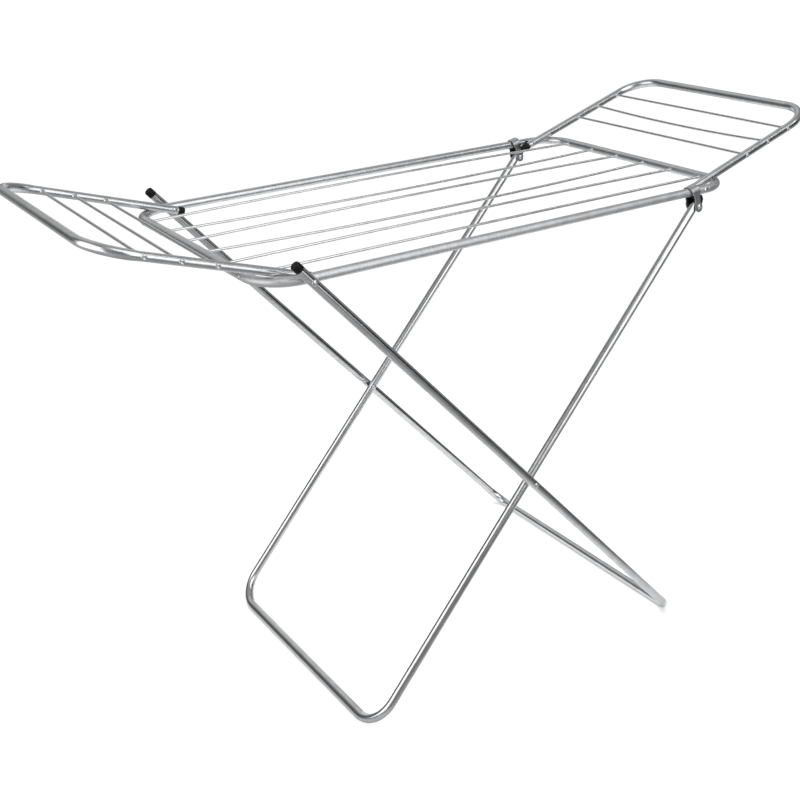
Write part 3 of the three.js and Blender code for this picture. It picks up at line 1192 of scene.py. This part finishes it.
@dataclass
class Assembly:
    """A sub-assembly: it builds its pieces, then dresses them and puts them on their bodies."""

    fitted: list[Fitted] = field(default_factory=list, init=False)

    def build(self) -> None:
        """Shapes the pieces of the sub-assembly."""
        raise NotImplementedError

    def add(self, piece: bpy.types.Object, finish: Finish, body: str, node: str) -> None:
        """Notes a piece with its finish, its body and the solid that it stands for."""
        self.fitted.append(Fitted(piece, finish, body, node))

    def add_copy(
        self, master: bpy.types.Object, name: str, place: Matrix, finish: Finish, body: str, node: str
    ) -> None:
        """Sets a copy of a master in its place and notes it.

        Args:
            master: The piece to copy.
            name: Name of the copy.
            place: Where it goes.
            finish: Its finish.
            body: The body that it rides on.
            node: The solid that it stands for.
        """
        twin = Bench.copy(master, name)
        Bench.place(twin, place)
        self.add(twin, finish, body, node)

    def dress(self) -> None:
        """Gives each piece its material and its body."""
        for item in self.fitted:
            piece, mesh = item.piece, item.piece.data
            mesh.materials.clear()
            mesh.materials.append(WARDROBE.material(item.finish))
            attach(piece, item.body)
            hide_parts(item.node)
            log.info("%s on %s, %d faces", piece.name, item.body, len(mesh.polygons))


@dataclass(frozen=True)
class Layout:
    """Where the sub-assemblies meet."""

    deck_height: float = 846 * MM
    half_length: float = 473 * MM
    rail_y: float = 275 * MM
    arm_y: float = 252 * MM
    outer_leg_y: float = 295 * MM
    inner_leg_y: float = 275 * MM
    pivot_x: float = 404.5 * MM
    collar_x: float = 384 * MM
    collar_drop: float = 26 * MM
    open_angle: float = math.radians(49.1)
    wing_tilt: float = math.radians(18.04)
    bar_height: float = LEG_STOCK.radius

    @property
    def outer_upper(self) -> float:
        """Outer leg from its hinge to the crossing, which keeps the collars at one drop.

        Returns:
            The length.
        """
        span = self.pivot_x + self.collar_x
        excess = self.collar_drop * (1 - math.sin(self.open_angle))
        return span**2 / (2 * (span * math.cos(self.open_angle) - excess))

    @property
    def inner_upper(self) -> float:
        """Inner leg from its collar rivet to the crossing."""
        return self.outer_upper - self.collar_drop

    @property
    def inner_angle(self) -> float:
        """Angle between the inner leg and the deck."""
        rise = self.outer_upper * math.sin(self.open_angle) - self.collar_drop
        return math.asin(rise / self.inner_upper)

    @property
    def outer_length(self) -> float:
        """Outer leg from its hinge to its floor bar."""
        return (self.deck_height - self.bar_height) / math.sin(self.open_angle)

    @property
    def inner_length(self) -> float:
        """Inner leg from its collar rivet to its floor bar."""
        drop = self.deck_height - self.bar_height - self.collar_drop
        return drop / math.sin(self.inner_angle)

    def pivot(self, end: End) -> Vector:
        """Middle of the hinge line at one end of the deck."""
        return Vector((end.value * self.pivot_x, 0, self.deck_height))

    def wing_frame(self, end: End) -> Matrix:
        """Matrix of a wing's own plane, its arms along +X."""
        turn = -self.wing_tilt if end is End.RIGHT else self.wing_tilt - HALF_TURN
        return Matrix.Translation(self.pivot(end)) @ Matrix.Rotation(turn, 4, "Y")

    def outer_leg_frame(self) -> Matrix:
        """Matrix of the outer leg's own plane."""
        return Matrix.Translation(self.pivot(End.LEFT)) @ Matrix.Rotation(self.open_angle, 4, "Y")

    def inner_leg_frame(self) -> Matrix:
        """Matrix of the inner leg's own plane."""
        top = Vector((self.collar_x, 0, self.deck_height - self.collar_drop))
        return Matrix.Translation(top) @ Matrix.Rotation(HALF_TURN - self.inner_angle, 4, "Y")


LAYOUT = Layout()


@dataclass
class Deck(Assembly):
    """The rounded tube ring with its six wires."""

    bend: float = 65 * MM
    wire_margin: float = 75 * MM
    wire_bows: tuple[float, ...] = (0.5 * MM, 2 * MM, -8 * MM, 3 * MM, -6.5 * MM, 4.5 * MM)

    def wire_ys(self) -> list[float]:
        """Place of each wire across the deck."""
        pitch = 2 * (LAYOUT.rail_y - self.wire_margin) / (len(self.wire_bows) - 1)
        return [self.wire_margin - LAYOUT.rail_y + pitch * i for i in range(len(self.wire_bows))]

    def build(self) -> None:
        """Bends and drills the ring, then draws the wires."""
        self._build_ring()
        for index, (y, bow) in enumerate(zip(self.wire_ys(), self.wire_bows), start=1):
            wire = WIRE_STOCK.shape(f"deck_strand_{index}", LAYOUT.half_length, RAIL_STOCK, bow)
            Bench.place(wire, Matrix.Translation((0, y, LAYOUT.deck_height)))
            self.add(wire, DRAWN_WIRE, "deck", f"deck_wire_{index}")

    def _build_ring(self) -> None:
        """Bends and drills the ring."""
        side = LAYOUT.half_length - self.bend
        end = 2 * (LAYOUT.rail_y - self.bend)
        first = -LAYOUT.rail_y + self.bend
        holes = tuple(y - first for y in self.wire_ys())
        pivot = LAYOUT.pivot_x
        corner = Bend(self.bend)
        path = TubePath(
            Vector((0, -LAYOUT.rail_y, 0)),
            AXIS_X,
            (
                Run(side, (pivot,)), corner, Run(end, holes), corner,
                Run(2 * side, (side - pivot, side + pivot)), corner, Run(end, holes), corner,
                Run(side, (side - pivot,)),
            ),
        )
        ring = RAIL_STOCK.shape("deck_ring", path, closed=True)
        drills = []
        for end_side in End:
            for y in self.wire_ys():
                place = Vector((end_side.value * LAYOUT.half_length, y, 0))
                drills.append(RAIL_STOCK.wire_drill(place, AXIS_X * end_side.value))
            for side_name in Side:
                place = Vector((end_side.value * pivot, side_name.value * LAYOUT.rail_y, 0))
                drills.append(RAIL_STOCK.rivet_drill(place, AXIS_Y))
        RAIL_STOCK.drill(ring, path, drills)
        Bench.place(ring, Matrix.Translation((0, 0, LAYOUT.deck_height)))
        self.add(ring, SATIN_TUBE, "deck", "deck_frame")


@dataclass
class Wing(Assembly):
    """A bent tube wing with three wires and its two end caps."""

    end: End = End.LEFT
    reach: float = 324 * MM
    bend: float = 68 * MM
    tail: float = 8.3 * MM
    cap_length: float = 13 * MM
    wire_places: tuple[float, ...] = (133.5 * MM, 189.75 * MM, 246 * MM)
    wire_bows: tuple[float, ...] = (0.0, 0.0, 0.0)
    skew: float = 0.0

    @property
    def body(self) -> str:
        """Name of the wing's body."""
        return f"wing_{self.end.label}"

    @property
    def lean(self) -> float:
        """Angle between the wires and the pivot line."""
        return math.atan2(self.skew / 2, LAYOUT.arm_y)

    def build(self) -> None:
        """Bends and drills the tube, draws the wires and turns the caps."""
        frame = LAYOUT.wing_frame(self.end)
        self._build_tube(frame)
        for index, (x, bow) in enumerate(zip(self.wire_places, self.wire_bows), start=1):
            name = f"{self.body}_strand_{index}"
            wire = WIRE_STOCK.shape(name, math.hypot(LAYOUT.arm_y, self.skew / 2), WING_STOCK, bow)
            turn = Matrix.Rotation(QUARTER_TURN + self.lean, 4, "Z")
            Bench.place(wire, frame @ (Matrix.Translation((x, 0, 0)) @ turn))
            self.add(wire, DRAWN_WIRE, self.body, f"{self.body}_wire_{index}")
        cap = CapStock(WING_STOCK, self.cap_length).shape("wing_end_cap")
        for side in Side:
            name = f"{self.body}_end_cap_{side.label}"
            arm_end = Vector((-self.tail, side.value * LAYOUT.arm_y, 0))
            place = frame @ Bench.aimed(arm_end, -AXIS_X)
            node = f"{self.body}_cap_{side.label}"
            self.add_copy(cap, name, place, MOULDED_BLACK, self.body, node)
        Bench.discard(cap)

    def _build_tube(self, frame: Matrix) -> None:
        """Bends and drills the wing's tube.

        Args:
            frame: Matrix of the wing's own plane.
        """
        arm = self.tail + self.reach - self.bend
        holes = (self.tail, *(self.tail + x for x in self.wire_places))
        path = TubePath(
            Vector((-self.tail, -LAYOUT.arm_y, 0)),
            AXIS_X,
            (
                Run(arm, holes), Bend(self.bend), Run(2 * (LAYOUT.arm_y - self.bend)),
                Bend(self.bend), Run(arm, tuple(arm - hole for hole in holes)),
            ),
        )
        tube = WING_STOCK.shape(f"{self.body}_hoop", path)
        drills = []
        for side in Side:
            outward = AXIS_Y * side.value
            along = Matrix.Rotation(self.lean, 3, "Z") @ outward
            y = side.value * LAYOUT.arm_y
            shift = side.value * self.skew / 2
            drills.append(WING_STOCK.rivet_drill(Vector((0, y, 0)), outward))
            drills.extend(
                WING_STOCK.wire_drill(Vector((x - shift, y, 0)), along) for x in self.wire_places
            )
        WING_STOCK.drill(tube, path, drills)
        Bench.place(tube, frame)
        self.add(tube, WING_TUBE, self.body, f"{self.body}_frame")


@dataclass
class Pivots(Assembly):
    """The rivets, spacers and washers of the deck's four pivots."""

    def build(self) -> None:
        """Turns each rivet, spacer and washer once and sets its copies."""
        arm_face = LAYOUT.arm_y - WING_STOCK.seat
        rail_face = LAYOUT.rail_y + RAIL_STOCK.seat
        outer = {End.LEFT: LAYOUT.outer_leg_y + LEG_STOCK.seat, End.RIGHT: rail_face}
        spacer = WASHER_STOCK.shape(
            "wing_bush", LAYOUT.arm_y + WING_STOCK.seat, LAYOUT.rail_y - RAIL_STOCK.seat
        )
        for end in End:
            rivet = RIVET_STOCK.shape("pivot_pin", arm_face, outer[end])
            for side in Side:
                tag = f"{end.label}_{side.label}"
                place = Bench.aimed(LAYOUT.pivot(end), AXIS_Y * side.value)
                for master, name, finish, node in (
                    (rivet, "pivot_pin", TURNED_RIVET, "pivot_rivet"),
                    (spacer, "wing_bush", MOULDED_BLACK, "wing_spacer"),
                ):
                    self.add_copy(master, f"{name}_{tag}", place, finish, "deck", f"{node}_{tag}")
            Bench.discard(rivet)
        washer = WASHER_STOCK.shape("leg_bush", rail_face, LAYOUT.outer_leg_y - LEG_STOCK.seat)
        for side in Side:
            place = Bench.aimed(LAYOUT.pivot(End.LEFT), AXIS_Y * side.value)
            name, node = f"leg_bush_{side.label}", f"leg_hinge_washer_{side.label}"
            self.add_copy(washer, name, place, MOULDED_BLACK, "deck", node)
        Bench.discard(washer)
        Bench.discard(spacer)


@dataclass
class Leg(Assembly):
    """A U-shaped tube leg that ends in a floor bar."""

    y: float = 0.0
    tail: float = 0.0
    length: float = 0.0
    crossing: float = 0.0
    bend: float = 0.0

    def shape_tube(self, name: str) -> bpy.types.Object:
        """Bends and drills the leg's tube in its own plane.

        Args:
            name: Name of the piece.

        Returns:
            The tube.
        """
        run = self.tail + self.length - self.bend
        holes = (self.tail, self.tail + self.crossing)
        path = TubePath(
            Vector((-self.tail, -self.y, 0)),
            AXIS_X,
            (
                Run(run, holes), Bend(self.bend), Run(2 * (self.y - self.bend)),
                Bend(self.bend), Run(run, tuple(run - hole for hole in holes)),
            ),
        )
        tube = LEG_STOCK.shape(name, path)
        drills = [
            LEG_STOCK.rivet_drill(Vector((x, side.value * self.y, 0)), AXIS_Y)
            for x in (0, self.crossing)
            for side in Side
        ]
        LEG_STOCK.drill(tube, path, drills)
        return tube


@dataclass
class OuterLeg(Leg):
    """The leg that hangs from the left pivots, with its caps and the crossing rivets."""

    y: float = LAYOUT.outer_leg_y
    tail: float = 30 * MM
    length: float = LAYOUT.outer_length
    crossing: float = LAYOUT.outer_upper
    bend: float = 38 * MM
    cap_length: float = 13.5 * MM

    def build(self) -> None:
        """Shapes the tube, the caps, and the rivets and washers at the crossing."""
        frame = LAYOUT.outer_leg_frame()
        tube = self.shape_tube("leg_outer_hoop")
        Bench.place(tube, frame)
        self.add(tube, PLATED_TUBE, "leg_outer", "leg_outer_frame")
        cap = CapStock(LEG_STOCK, self.cap_length).shape("leg_end_cap")
        inner, outer, seat = LAYOUT.inner_leg_y, LAYOUT.outer_leg_y, LEG_STOCK.seat
        rivet = RIVET_STOCK.shape("crossing_pin", inner - seat, outer + seat)
        washer = WASHER_STOCK.shape("crossing_bush", inner + seat, outer - seat)
        for side in Side:
            outward = AXIS_Y * side.value
            head = Bench.aimed(Vector((-self.tail, side.value * self.y, 0)), -AXIS_X)
            cross = Bench.aimed(Vector((self.crossing, 0, 0)), outward)
            for master, name, place, finish, node in (
                (cap, "leg_end_cap", head, MOULDED_BLACK, "leg_outer_cap"),
                (rivet, "crossing_pin", cross, TURNED_RIVET, "cross_rivet"),
                (washer, "crossing_bush", cross, MOULDED_BLACK, "cross_washer"),
            ):
                label, solid = f"{name}_{side.label}", f"{node}_{side.label}"
                self.add_copy(master, label, frame @ place, finish, "leg_outer", solid)
        for master in (cap, rivet, washer):
            Bench.discard(master)


@dataclass
class InnerLeg(Leg):
    """The leg that slides along the rails, with a plug in each top end."""

    y: float = LAYOUT.inner_leg_y
    tail: float = 9 * MM
    length: float = LAYOUT.inner_length
    crossing: float = LAYOUT.inner_upper
    bend: float = 56 * MM
    plug_length: float = 2 * MM
    plug_crown: float = 1.2 * MM
    plug_lip: float = 0.6 * MM

    def build(self) -> None:
        """Shapes the tube and its plugs."""
        frame = LAYOUT.inner_leg_frame()
        tube = self.shape_tube("leg_inner_hoop")
        Bench.place(tube, frame)
        self.add(tube, PLATED_TUBE, "leg_inner", "leg_inner_frame")
        stock = CapStock(
            LEG_STOCK, self.plug_length, proud=0, crown=self.plug_crown, lip=self.plug_lip
        )
        plug = stock.shape("leg_top_plug")
        for side in Side:
            head = Bench.aimed(Vector((-self.tail, side.value * self.y, 0)), -AXIS_X)
            name, node = f"leg_top_plug_{side.label}", f"leg_inner_plug_{side.label}"
            self.add_copy(plug, name, frame @ head, MOULDED_BLACK, "leg_inner", node)
        Bench.discard(plug)


@dataclass
class Collars(Assembly):
    """The two sliding collars: strap, guide block and rivet."""

    lean: float = math.radians(13)
    slack: float = 1.5 * MM
    band: float = 17 * MM
    band_drop: float = 1 * MM
    width: float = 16 * MM
    neck: float = 12.5 * MM
    neck_drop: float = 3 * MM
    flare: float = 20 * MM
    thickness: float = 1.5 * MM
    span: float = 27 * MM
    rise: float = 12.5 * MM
    foot: float = 10.5 * MM
    shoulder_bend: float = 10.5 * MM
    block_top: float = 14 * MM
    block_shoulder: float = 20 * MM
    block_foot: float = 13 * MM
    block_drop: float = 6 * MM
    shoulder_drop: float = 13.5 * MM
    block_slot: float = 17 * MM
    leg_reach: float = 11 * MM
    play: float = 0.3 * MM
    round_steps: int = 8
    edge: float = 0.35 * MM
    strap_sharp: float = math.radians(50)
    block_sharp: float = math.radians(40)
    blank: float = 1.0

    def build(self) -> None:
        """Shapes one collar at the rail's centreline and sets its copies."""
        rivet = RIVET_STOCK.shape("collar_pin", -self.span / 2, self.span / 2)
        Bench.place(rivet, Bench.aimed(Vector((0, 0, -LAYOUT.collar_drop)), AXIS_Y))
        masters = (
            (self._shape_strap(), "collar_band", PRESSED_STRAP, "collar_strap"),
            (self._shape_block(), "collar_guide", MOULDED_BLACK, "collar_saddle"),
            (rivet, "collar_pin", TURNED_RIVET, "collar_rivet"),
        )
        for master, name, finish, node in masters:
            for side in Side:
                tag = side.label
                place = Matrix.Translation(
                    (LAYOUT.collar_x, side.value * LAYOUT.rail_y, LAYOUT.deck_height)
                )
                self.add_copy(
                    master, f"{name}_{tag}", place, finish, f"collar_{tag}", f"{node}_{tag}"
                )
            Bench.discard(master)

    def _rivet_drill(self) -> bpy.types.Object:
        """Cutter for the rivet's hole.

        Returns:
            The cutter.
        """
        reach = self.span
        hole = RAIL_STOCK.rivet_hole
        cutter = Bench.turned("drill", [(hole, -reach), (hole, reach)], RAIL_STOCK.hole_sides)
        Bench.place(cutter, Bench.aimed(Vector((0, 0, -LAYOUT.collar_drop)), AXIS_Y))
        return cutter

    def _shape_strap(self) -> bpy.types.Object:
        """Bends a strip over the rail, with a round end on each plate, leaning on the rail.

        Returns:
            The strap.
        """
        wall = self.thickness / 2
        plate_y = self.span / 2 - wall
        bend = self.shoulder_bend - wall
        shoulder = self.rise - wall - bend
        reach = self.width / 2
        neck = self.neck / 2
        band = self.band / 2
        eye = -(LAYOUT.collar_drop + self.foot - reach)
        angles = [QUARTER_TURN * step / self.round_steps for step in range(1, self.round_steps + 1)]
        rows = [(reach * math.sin(a), eye - reach * math.cos(a)) for a in angles]
        rows.extend(((reach, neck - reach - self.flare), (neck, -self.flare)))
        rows.extend(((neck, -self.neck_drop), (band, -self.band_drop)))
        Bench.clear()
        bpy.ops.mesh.primitive_plane_add(
            size=self.blank, location=(0, -plate_y, 0), rotation=(QUARTER_TURN, 0, 0)
        )
        piece = Bench.name_and_open("collar_band")
        self._set_row(piece, -self.blank / 2, rows[0])
        self._set_row(piece, self.blank / 2, rows[1])
        self._pull_rows([*rows[1:], (band, shoulder)], -plate_y)
        Bench.sweep(-QUARTER_TURN, self.round_steps, Vector((0, bend - plate_y, shoulder)), AXIS_X)
        Bench.pull(AXIS_Y * 2 * (plate_y - bend))
        Bench.sweep(-QUARTER_TURN, self.round_steps, Vector((0, plate_y - bend, shoulder)), AXIS_X)
        self._pull_rows([(band, shoulder), *reversed(rows)], plate_y)
        bpy.ops.mesh.select_all(action="SELECT")
        bpy.ops.mesh.normals_make_consistent(inside=False)
        Bench.finish_with(
            piece, "SOLIDIFY", thickness=self.thickness, offset=0, use_even_offset=True
        )
        rivet = Matrix.Translation((0, 0, -LAYOUT.collar_drop))
        turn = Matrix.Rotation(-self.lean, 4, AXIS_Y) @ rivet.inverted()
        Bench.place(piece, Matrix.Translation((-self.slack, 0, 0)) @ rivet @ turn)
        Bench.cut(piece, [self._rivet_drill()])
        Bench.soften(piece, self.edge, self.strap_sharp)
        return piece

    @staticmethod
    def _pull_rows(rows: list[tuple[float, float]], y: float) -> None:
        """Extrudes what is selected from row to row.

        Args:
            rows: Half width and height of each row; the first is the selected edge.
            y: Middle of the rows across the rail.
        """
        width, height = rows[0]
        for next_width, next_height in rows[1:]:
            Bench.pull(AXIS_Z * (next_height - height))
            Bench.scale((next_width / width, 1, 1), Vector((0, y, next_height)))
            width, height = next_width, next_height

    def _set_row(self, piece: bpy.types.Object, old: float, row: tuple[float, float]) -> None:
        """Moves one edge of the square blank to its row and leaves it selected.

        Args:
            piece: The strip in work.
            old: Height of the edge now.
            row: Its new half width and height.
        """
        half_width, height = row
        Bench.choose(piece, lambda point: abs(point.z - old) < Bench.WELD)
        y = piece.data.vertices[0].co.y
        Bench.scale((2 * half_width / self.blank, 1, 1), Vector((0, y, old)))
        bpy.ops.transform.translate(value=(0, 0, height - old))

    def _shape_block(self) -> bpy.types.Object:
        """Shapes the guide block: sloping shoulders and a round foot, bored and slotted.

        Returns:
            The guide block.
        """
        depth = self.span - 2 * self.thickness - 2 * self.play
        foot = self.block_foot / 2
        drop = LAYOUT.collar_drop
        shoulder = -self.shoulder_drop
        height = self.shoulder_drop - self.block_drop
        rows = [(foot, -drop)]
        for step in range(1, self.round_steps):
            angle = QUARTER_TURN * step / self.round_steps
            rows.append((foot * math.cos(angle), -drop - foot * math.sin(angle)))
        Bench.clear()
        bpy.ops.mesh.primitive_cube_add(
            size=1, location=(0, 0, shoulder + height / 2), scale=(self.block_top, depth, height)
        )
        piece = Bench.name_and_open("collar_guide")
        Bench.choose(piece, lambda point: abs(point.z - shoulder) < Bench.WELD)
        Bench.scale((self.block_shoulder / self.block_top, 1, 1), Vector((0, 0, shoulder)))
        self._pull_rows([(self.block_shoulder / 2, shoulder), *rows], 0)
        Bench.close_up(piece)
        far = 2 * self.block_shoulder
        bore = RAIL_STOCK.radius + self.play
        rail = Bench.turned("rail_bore", [(bore, -far), (bore, far)], RAIL_STOCK.sides)
        Bench.place(rail, Bench.aimed(ORIGIN, AXIS_X))
        sweep = math.hypot(self.leg_reach, RAIL_STOCK.radius) + self.play
        Bench.clear()
        bpy.ops.mesh.primitive_cube_add(
            size=1, location=(0, 0, sweep - drop - far / 2), scale=(far, self.block_slot, far)
        )
        slot = Bench.name_and_open("leg_slot")
        Bench.clear()
        for cutter in (rail, slot, self._rivet_drill()):
            Bench.cut(piece, [cutter])
        Bench.soften(piece, self.edge, self.block_sharp)
        return piece


# ------------------------------------------------------------------ studio
@dataclass(frozen=True)
class AreaLamp:
    """A soft rectangular panel of light aimed at a point."""

    name: str
    place: Triple
    target: Triple
    width: float
    height: float
    brightness: float
    mirrored: bool = True
    watts_per_brightness: float = 4

    def hang(self) -> None:
        """Adds the lamp to the scene."""
        data = bpy.data.lights.new(self.name, "AREA")
        data.shape = "RECTANGLE"
        data.size = self.width
        data.size_y = self.height
        data.energy = self.watts_per_brightness * self.brightness * self.width * self.height
        lamp = bpy.data.objects.new(self.name, data)
        bpy.context.scene.collection.objects.link(lamp)
        away = Vector(self.place) - Vector(self.target)
        turn = away.to_track_quat("Z", "Y").to_matrix().to_4x4()
        lamp.matrix_world = Matrix.Translation(self.place) @ turn
        lamp.visible_camera = False
        lamp.visible_glossy = self.mirrored


@dataclass(frozen=True)
class Glow:
    """A soft patch of the sky, brighter or darker than the rest."""

    heading: Triple
    edge_angle: float
    core_angle: float
    strength: float


@dataclass(frozen=True)
class Sky:
    """Light from all round: a value for each height, with soft patches in some directions."""

    heights: tuple[tuple[float, float], ...] = (
        (-1.0, 0.4), (-0.5, 0.5), (-0.3, 0.46), (-0.1, 0.26), (0.0, 0.22), (0.3, 0.26), (1.0, 0.38),
    )
    glows: tuple[Glow, ...] = (
        Glow((0.62, -0.74, -0.3), 50, 20, -0.24),
        Glow((0.44, -0.63, 0.64), 26, 10, -0.16),
        Glow((0.55, 0.77, -0.3), 34, 14, -0.18),
        Glow((0.26, 0.72, 0.64), 42, 10, 0.3),
        Glow((-0.63, 0.70, 0.34), 34, 10, -0.14),
    )
    backdrop: float = 1.05
    new_stop: float = 0.5

    def hang(self) -> None:
        """Builds the world. Where no piece stands, one sees the plain backdrop."""
        world = bpy.data.worlds.new("studio")
        world.use_nodes = True
        tree = world.node_tree
        tree.nodes.clear()
        links = tree.links
        direction = tree.nodes.new("ShaderNodeTexCoord").outputs["Generated"]
        total = self._by_height(tree, direction)
        for glow in self.glows:
            add = tree.nodes.new("ShaderNodeMath")
            add.operation = "ADD"
            links.new(total, add.inputs[0])
            links.new(self._patch(tree, direction, glow), add.inputs[1])
            total = add.outputs["Value"]
        around = tree.nodes.new("ShaderNodeBackground")
        around.inputs["Color"].default_value = (1, 1, 1, 1)
        links.new(total, around.inputs["Strength"])
        seen = tree.nodes.new("ShaderNodeBackground")
        seen.inputs["Color"].default_value = (1, 1, 1, 1)
        seen.inputs["Strength"].default_value = self.backdrop
        rays = tree.nodes.new("ShaderNodeLightPath")
        mix = tree.nodes.new("ShaderNodeMixShader")
        links.new(rays.outputs["Is Camera Ray"], mix.inputs["Fac"])
        links.new(around.outputs["Background"], mix.inputs[1])
        links.new(seen.outputs["Background"], mix.inputs[2])
        output = tree.nodes.new("ShaderNodeOutputWorld")
        links.new(mix.outputs["Shader"], output.inputs["Surface"])
        bpy.context.scene.world = world

    def _by_height(
        self, tree: bpy.types.NodeTree, direction: bpy.types.NodeSocket
    ) -> bpy.types.NodeSocket:
        """Brightness that goes with the height of a direction.

        Args:
            tree: The world's node tree.
            direction: Socket that gives the direction.

        Returns:
            Socket that gives the brightness.
        """
        split = tree.nodes.new("ShaderNodeSeparateXYZ")
        tree.links.new(direction, split.inputs["Vector"])
        height = self._range(tree, split.outputs["Z"], -1, 1)
        ramp = tree.nodes.new("ShaderNodeValToRGB")
        stops = ramp.color_ramp.elements
        while len(stops) < len(self.heights):
            stops.new(self.new_stop)
        for stop, (place, value) in zip(stops, self.heights):
            stop.position = (place + 1) / 2
            stop.color = (value, value, value, 1)
        tree.links.new(height.outputs["Result"], ramp.inputs["Fac"])
        return ramp.outputs["Color"]

    def _patch(
        self, tree: bpy.types.NodeTree, direction: bpy.types.NodeSocket, glow: Glow
    ) -> bpy.types.NodeSocket:
        """Brightness that a glow adds in a direction.

        Args:
            tree: The world's node tree.
            direction: Socket that gives the direction.
            glow: The glow.

        Returns:
            Socket that gives the brightness.
        """
        facing = tree.nodes.new("ShaderNodeVectorMath")
        facing.operation = "DOT_PRODUCT"
        facing.inputs[1].default_value = Vector(glow.heading).normalized()
        tree.links.new(direction, facing.inputs[0])
        edge = math.cos(math.radians(glow.edge_angle))
        core = math.cos(math.radians(glow.core_angle))
        patch = self._range(tree, facing.outputs["Value"], edge, core)
        patch.interpolation_type = "SMOOTHSTEP"
        patch.inputs["To Max"].default_value = glow.strength
        return patch.outputs["Result"]

    @staticmethod
    def _range(
        tree: bpy.types.NodeTree, value: bpy.types.NodeSocket, low: float, high: float
    ) -> bpy.types.Node:
        """Map range node from two limits to 0 and 1.

        Args:
            tree: The world's node tree.
            value: Socket that gives the value.
            low: Value that becomes 0.
            high: Value that becomes 1.

        Returns:
            The node.
        """
        node = tree.nodes.new("ShaderNodeMapRange")
        node.inputs["From Min"].default_value = low
        node.inputs["From Max"].default_value = high
        tree.links.new(value, node.inputs["Value"])
        return node


@dataclass(frozen=True)
class Floor:
    """Pale floor that fades into the backdrop away from the airer."""

    size: float = 8
    tint: Triple = (0.9, 0.9, 0.9)
    centre: Triple = (0.4, 0.3, 0)
    mottle: float = 0.985
    mottle_scale: float = 3
    roughness: float = 0.9
    specular: float = 0.1
    density: float = 0.6
    solid_radius: float = 0.4
    faded_radius: float = 1.2

    def lay(self) -> None:
        """Adds the floor."""
        Bench.clear()
        bpy.ops.mesh.primitive_plane_add(size=self.size, location=(0, 0, 0))
        floor = bpy.context.active_object
        floor.name = "floor"
        sheet = NodeSheet("pale_floor")
        place = sheet.place(Grain.SOLID, UNSTRETCHED)
        blotches = sheet.noise(place, self.mottle_scale, detail=2)
        dark = tuple(value * self.mottle for value in self.tint)
        sheet.join(sheet.tint(blotches, dark, self.tint), "Color", sheet.surface, "Base Color")
        sheet.surface.inputs["Roughness"].default_value = self.roughness
        sheet.surface.inputs["Specular IOR Level"].default_value = self.specular
        reach = sheet.add("ShaderNodeVectorMath")
        reach.operation = "DISTANCE"
        reach.inputs[1].default_value = self.centre
        sheet.join(place, "Vector", reach, "Vector")
        fade = sheet.add(
            "ShaderNodeMapRange",
            From_Min=self.solid_radius,
            From_Max=self.faded_radius,
            To_Min=self.density,
            To_Max=0,
        )
        fade.interpolation_type = "SMOOTHSTEP"
        sheet.join(reach, "Value", fade, "Value")
        sheet.join(fade, "Result", sheet.surface, "Alpha")
        floor.data.materials.append(sheet.material)


@dataclass(frozen=True)
class Studio:
    """Camera, floor and soft light."""

    camera_place: Triple = (-1.22244, -1.96223, 1.44317)
    camera_right: Triple = (0.827008, -0.561126, -0.034589)
    camera_up: Triple = (0.212195, 0.254583, 0.943483)
    lens: float = 58.5675
    sensor: float = 36
    shift: tuple[float, float] = (-0.0914, -0.1184)
    sky: Sky = Sky()
    floor: Floor = Floor()
    lamps: tuple[AreaLamp, ...] = (
        AreaLamp("overhead", (0.0, 0.0, 3.4), (0, 0, 0), 3.4, 3.4, 3.6, mirrored=False),
        AreaLamp("front_panel", (0.45, -2.6, 1.9), (0.45, 0, 1.9), 2.3, 2.2, 1.35),
        AreaLamp("front_low_panel", (0.8, -2.6, 0.4), (0.8, 0, 0.4), 1.3, 0.8, 0.7),
        AreaLamp("left_panel", (-2.6, -0.1, 1.6), (0, -0.1, 1.6), 2.6, 2.6, 1.2),
        AreaLamp("top_panel", (0.0, -1.8, 3.0), (0.0, -1.8, 0), 2.8, 1.6, 1.1),
        AreaLamp("right_top_panel", (1.9, -1.4, 2.3), (0.4, -0.3, 0.9), 0.7, 0.7, 1.7),
        AreaLamp("back_low_panel", (1.3, 2.6, 0.6), (1.3, 0, 0.6), 2.4, 1.4, 0.45),
    )

    def build(self) -> None:
        """Sets up the camera, the floor, the sky and the lamps."""
        self._set_camera()
        self.floor.lay()
        self.sky.hang()
        for lamp in self.lamps:
            lamp.hang()
        bpy.context.scene.view_settings.view_transform = "Standard"
        log.info("studio ready with %d lamps", len(self.lamps))

    def _set_camera(self) -> None:
        """Adds the camera."""
        data = bpy.data.cameras.new("camera")
        data.lens = self.lens
        data.sensor_width = self.sensor
        data.shift_x, data.shift_y = self.shift
        camera = bpy.data.objects.new("camera", data)
        bpy.context.scene.collection.objects.link(camera)
        right, up = Vector(self.camera_right), Vector(self.camera_up)
        turn = Matrix((right, up, right.cross(up))).transposed().to_4x4()
        camera.matrix_world = Matrix.Translation(self.camera_place) @ turn
        bpy.context.scene.camera = camera


# ------------------------------------------------------------------ main
def main() -> None:
    """Loads the frame, sets up the studio, and builds and dresses each sub-assembly."""
    logging.basicConfig(level=logging.INFO, format="%(name)s: %(message)s")
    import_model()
    Studio().build()
    assemblies: tuple[Assembly, ...] = (
        Deck(),
        Wing(end=End.LEFT, skew=9 * MM),
        Wing(end=End.RIGHT, wire_bows=(0.0, -6 * MM, 0.0)),
        Pivots(),
        OuterLeg(),
        InnerLeg(),
        Collars(),
    )
    for assembly in assemblies:
        assembly.build()
        assembly.dress()


if __name__ == "__main__":
    main()
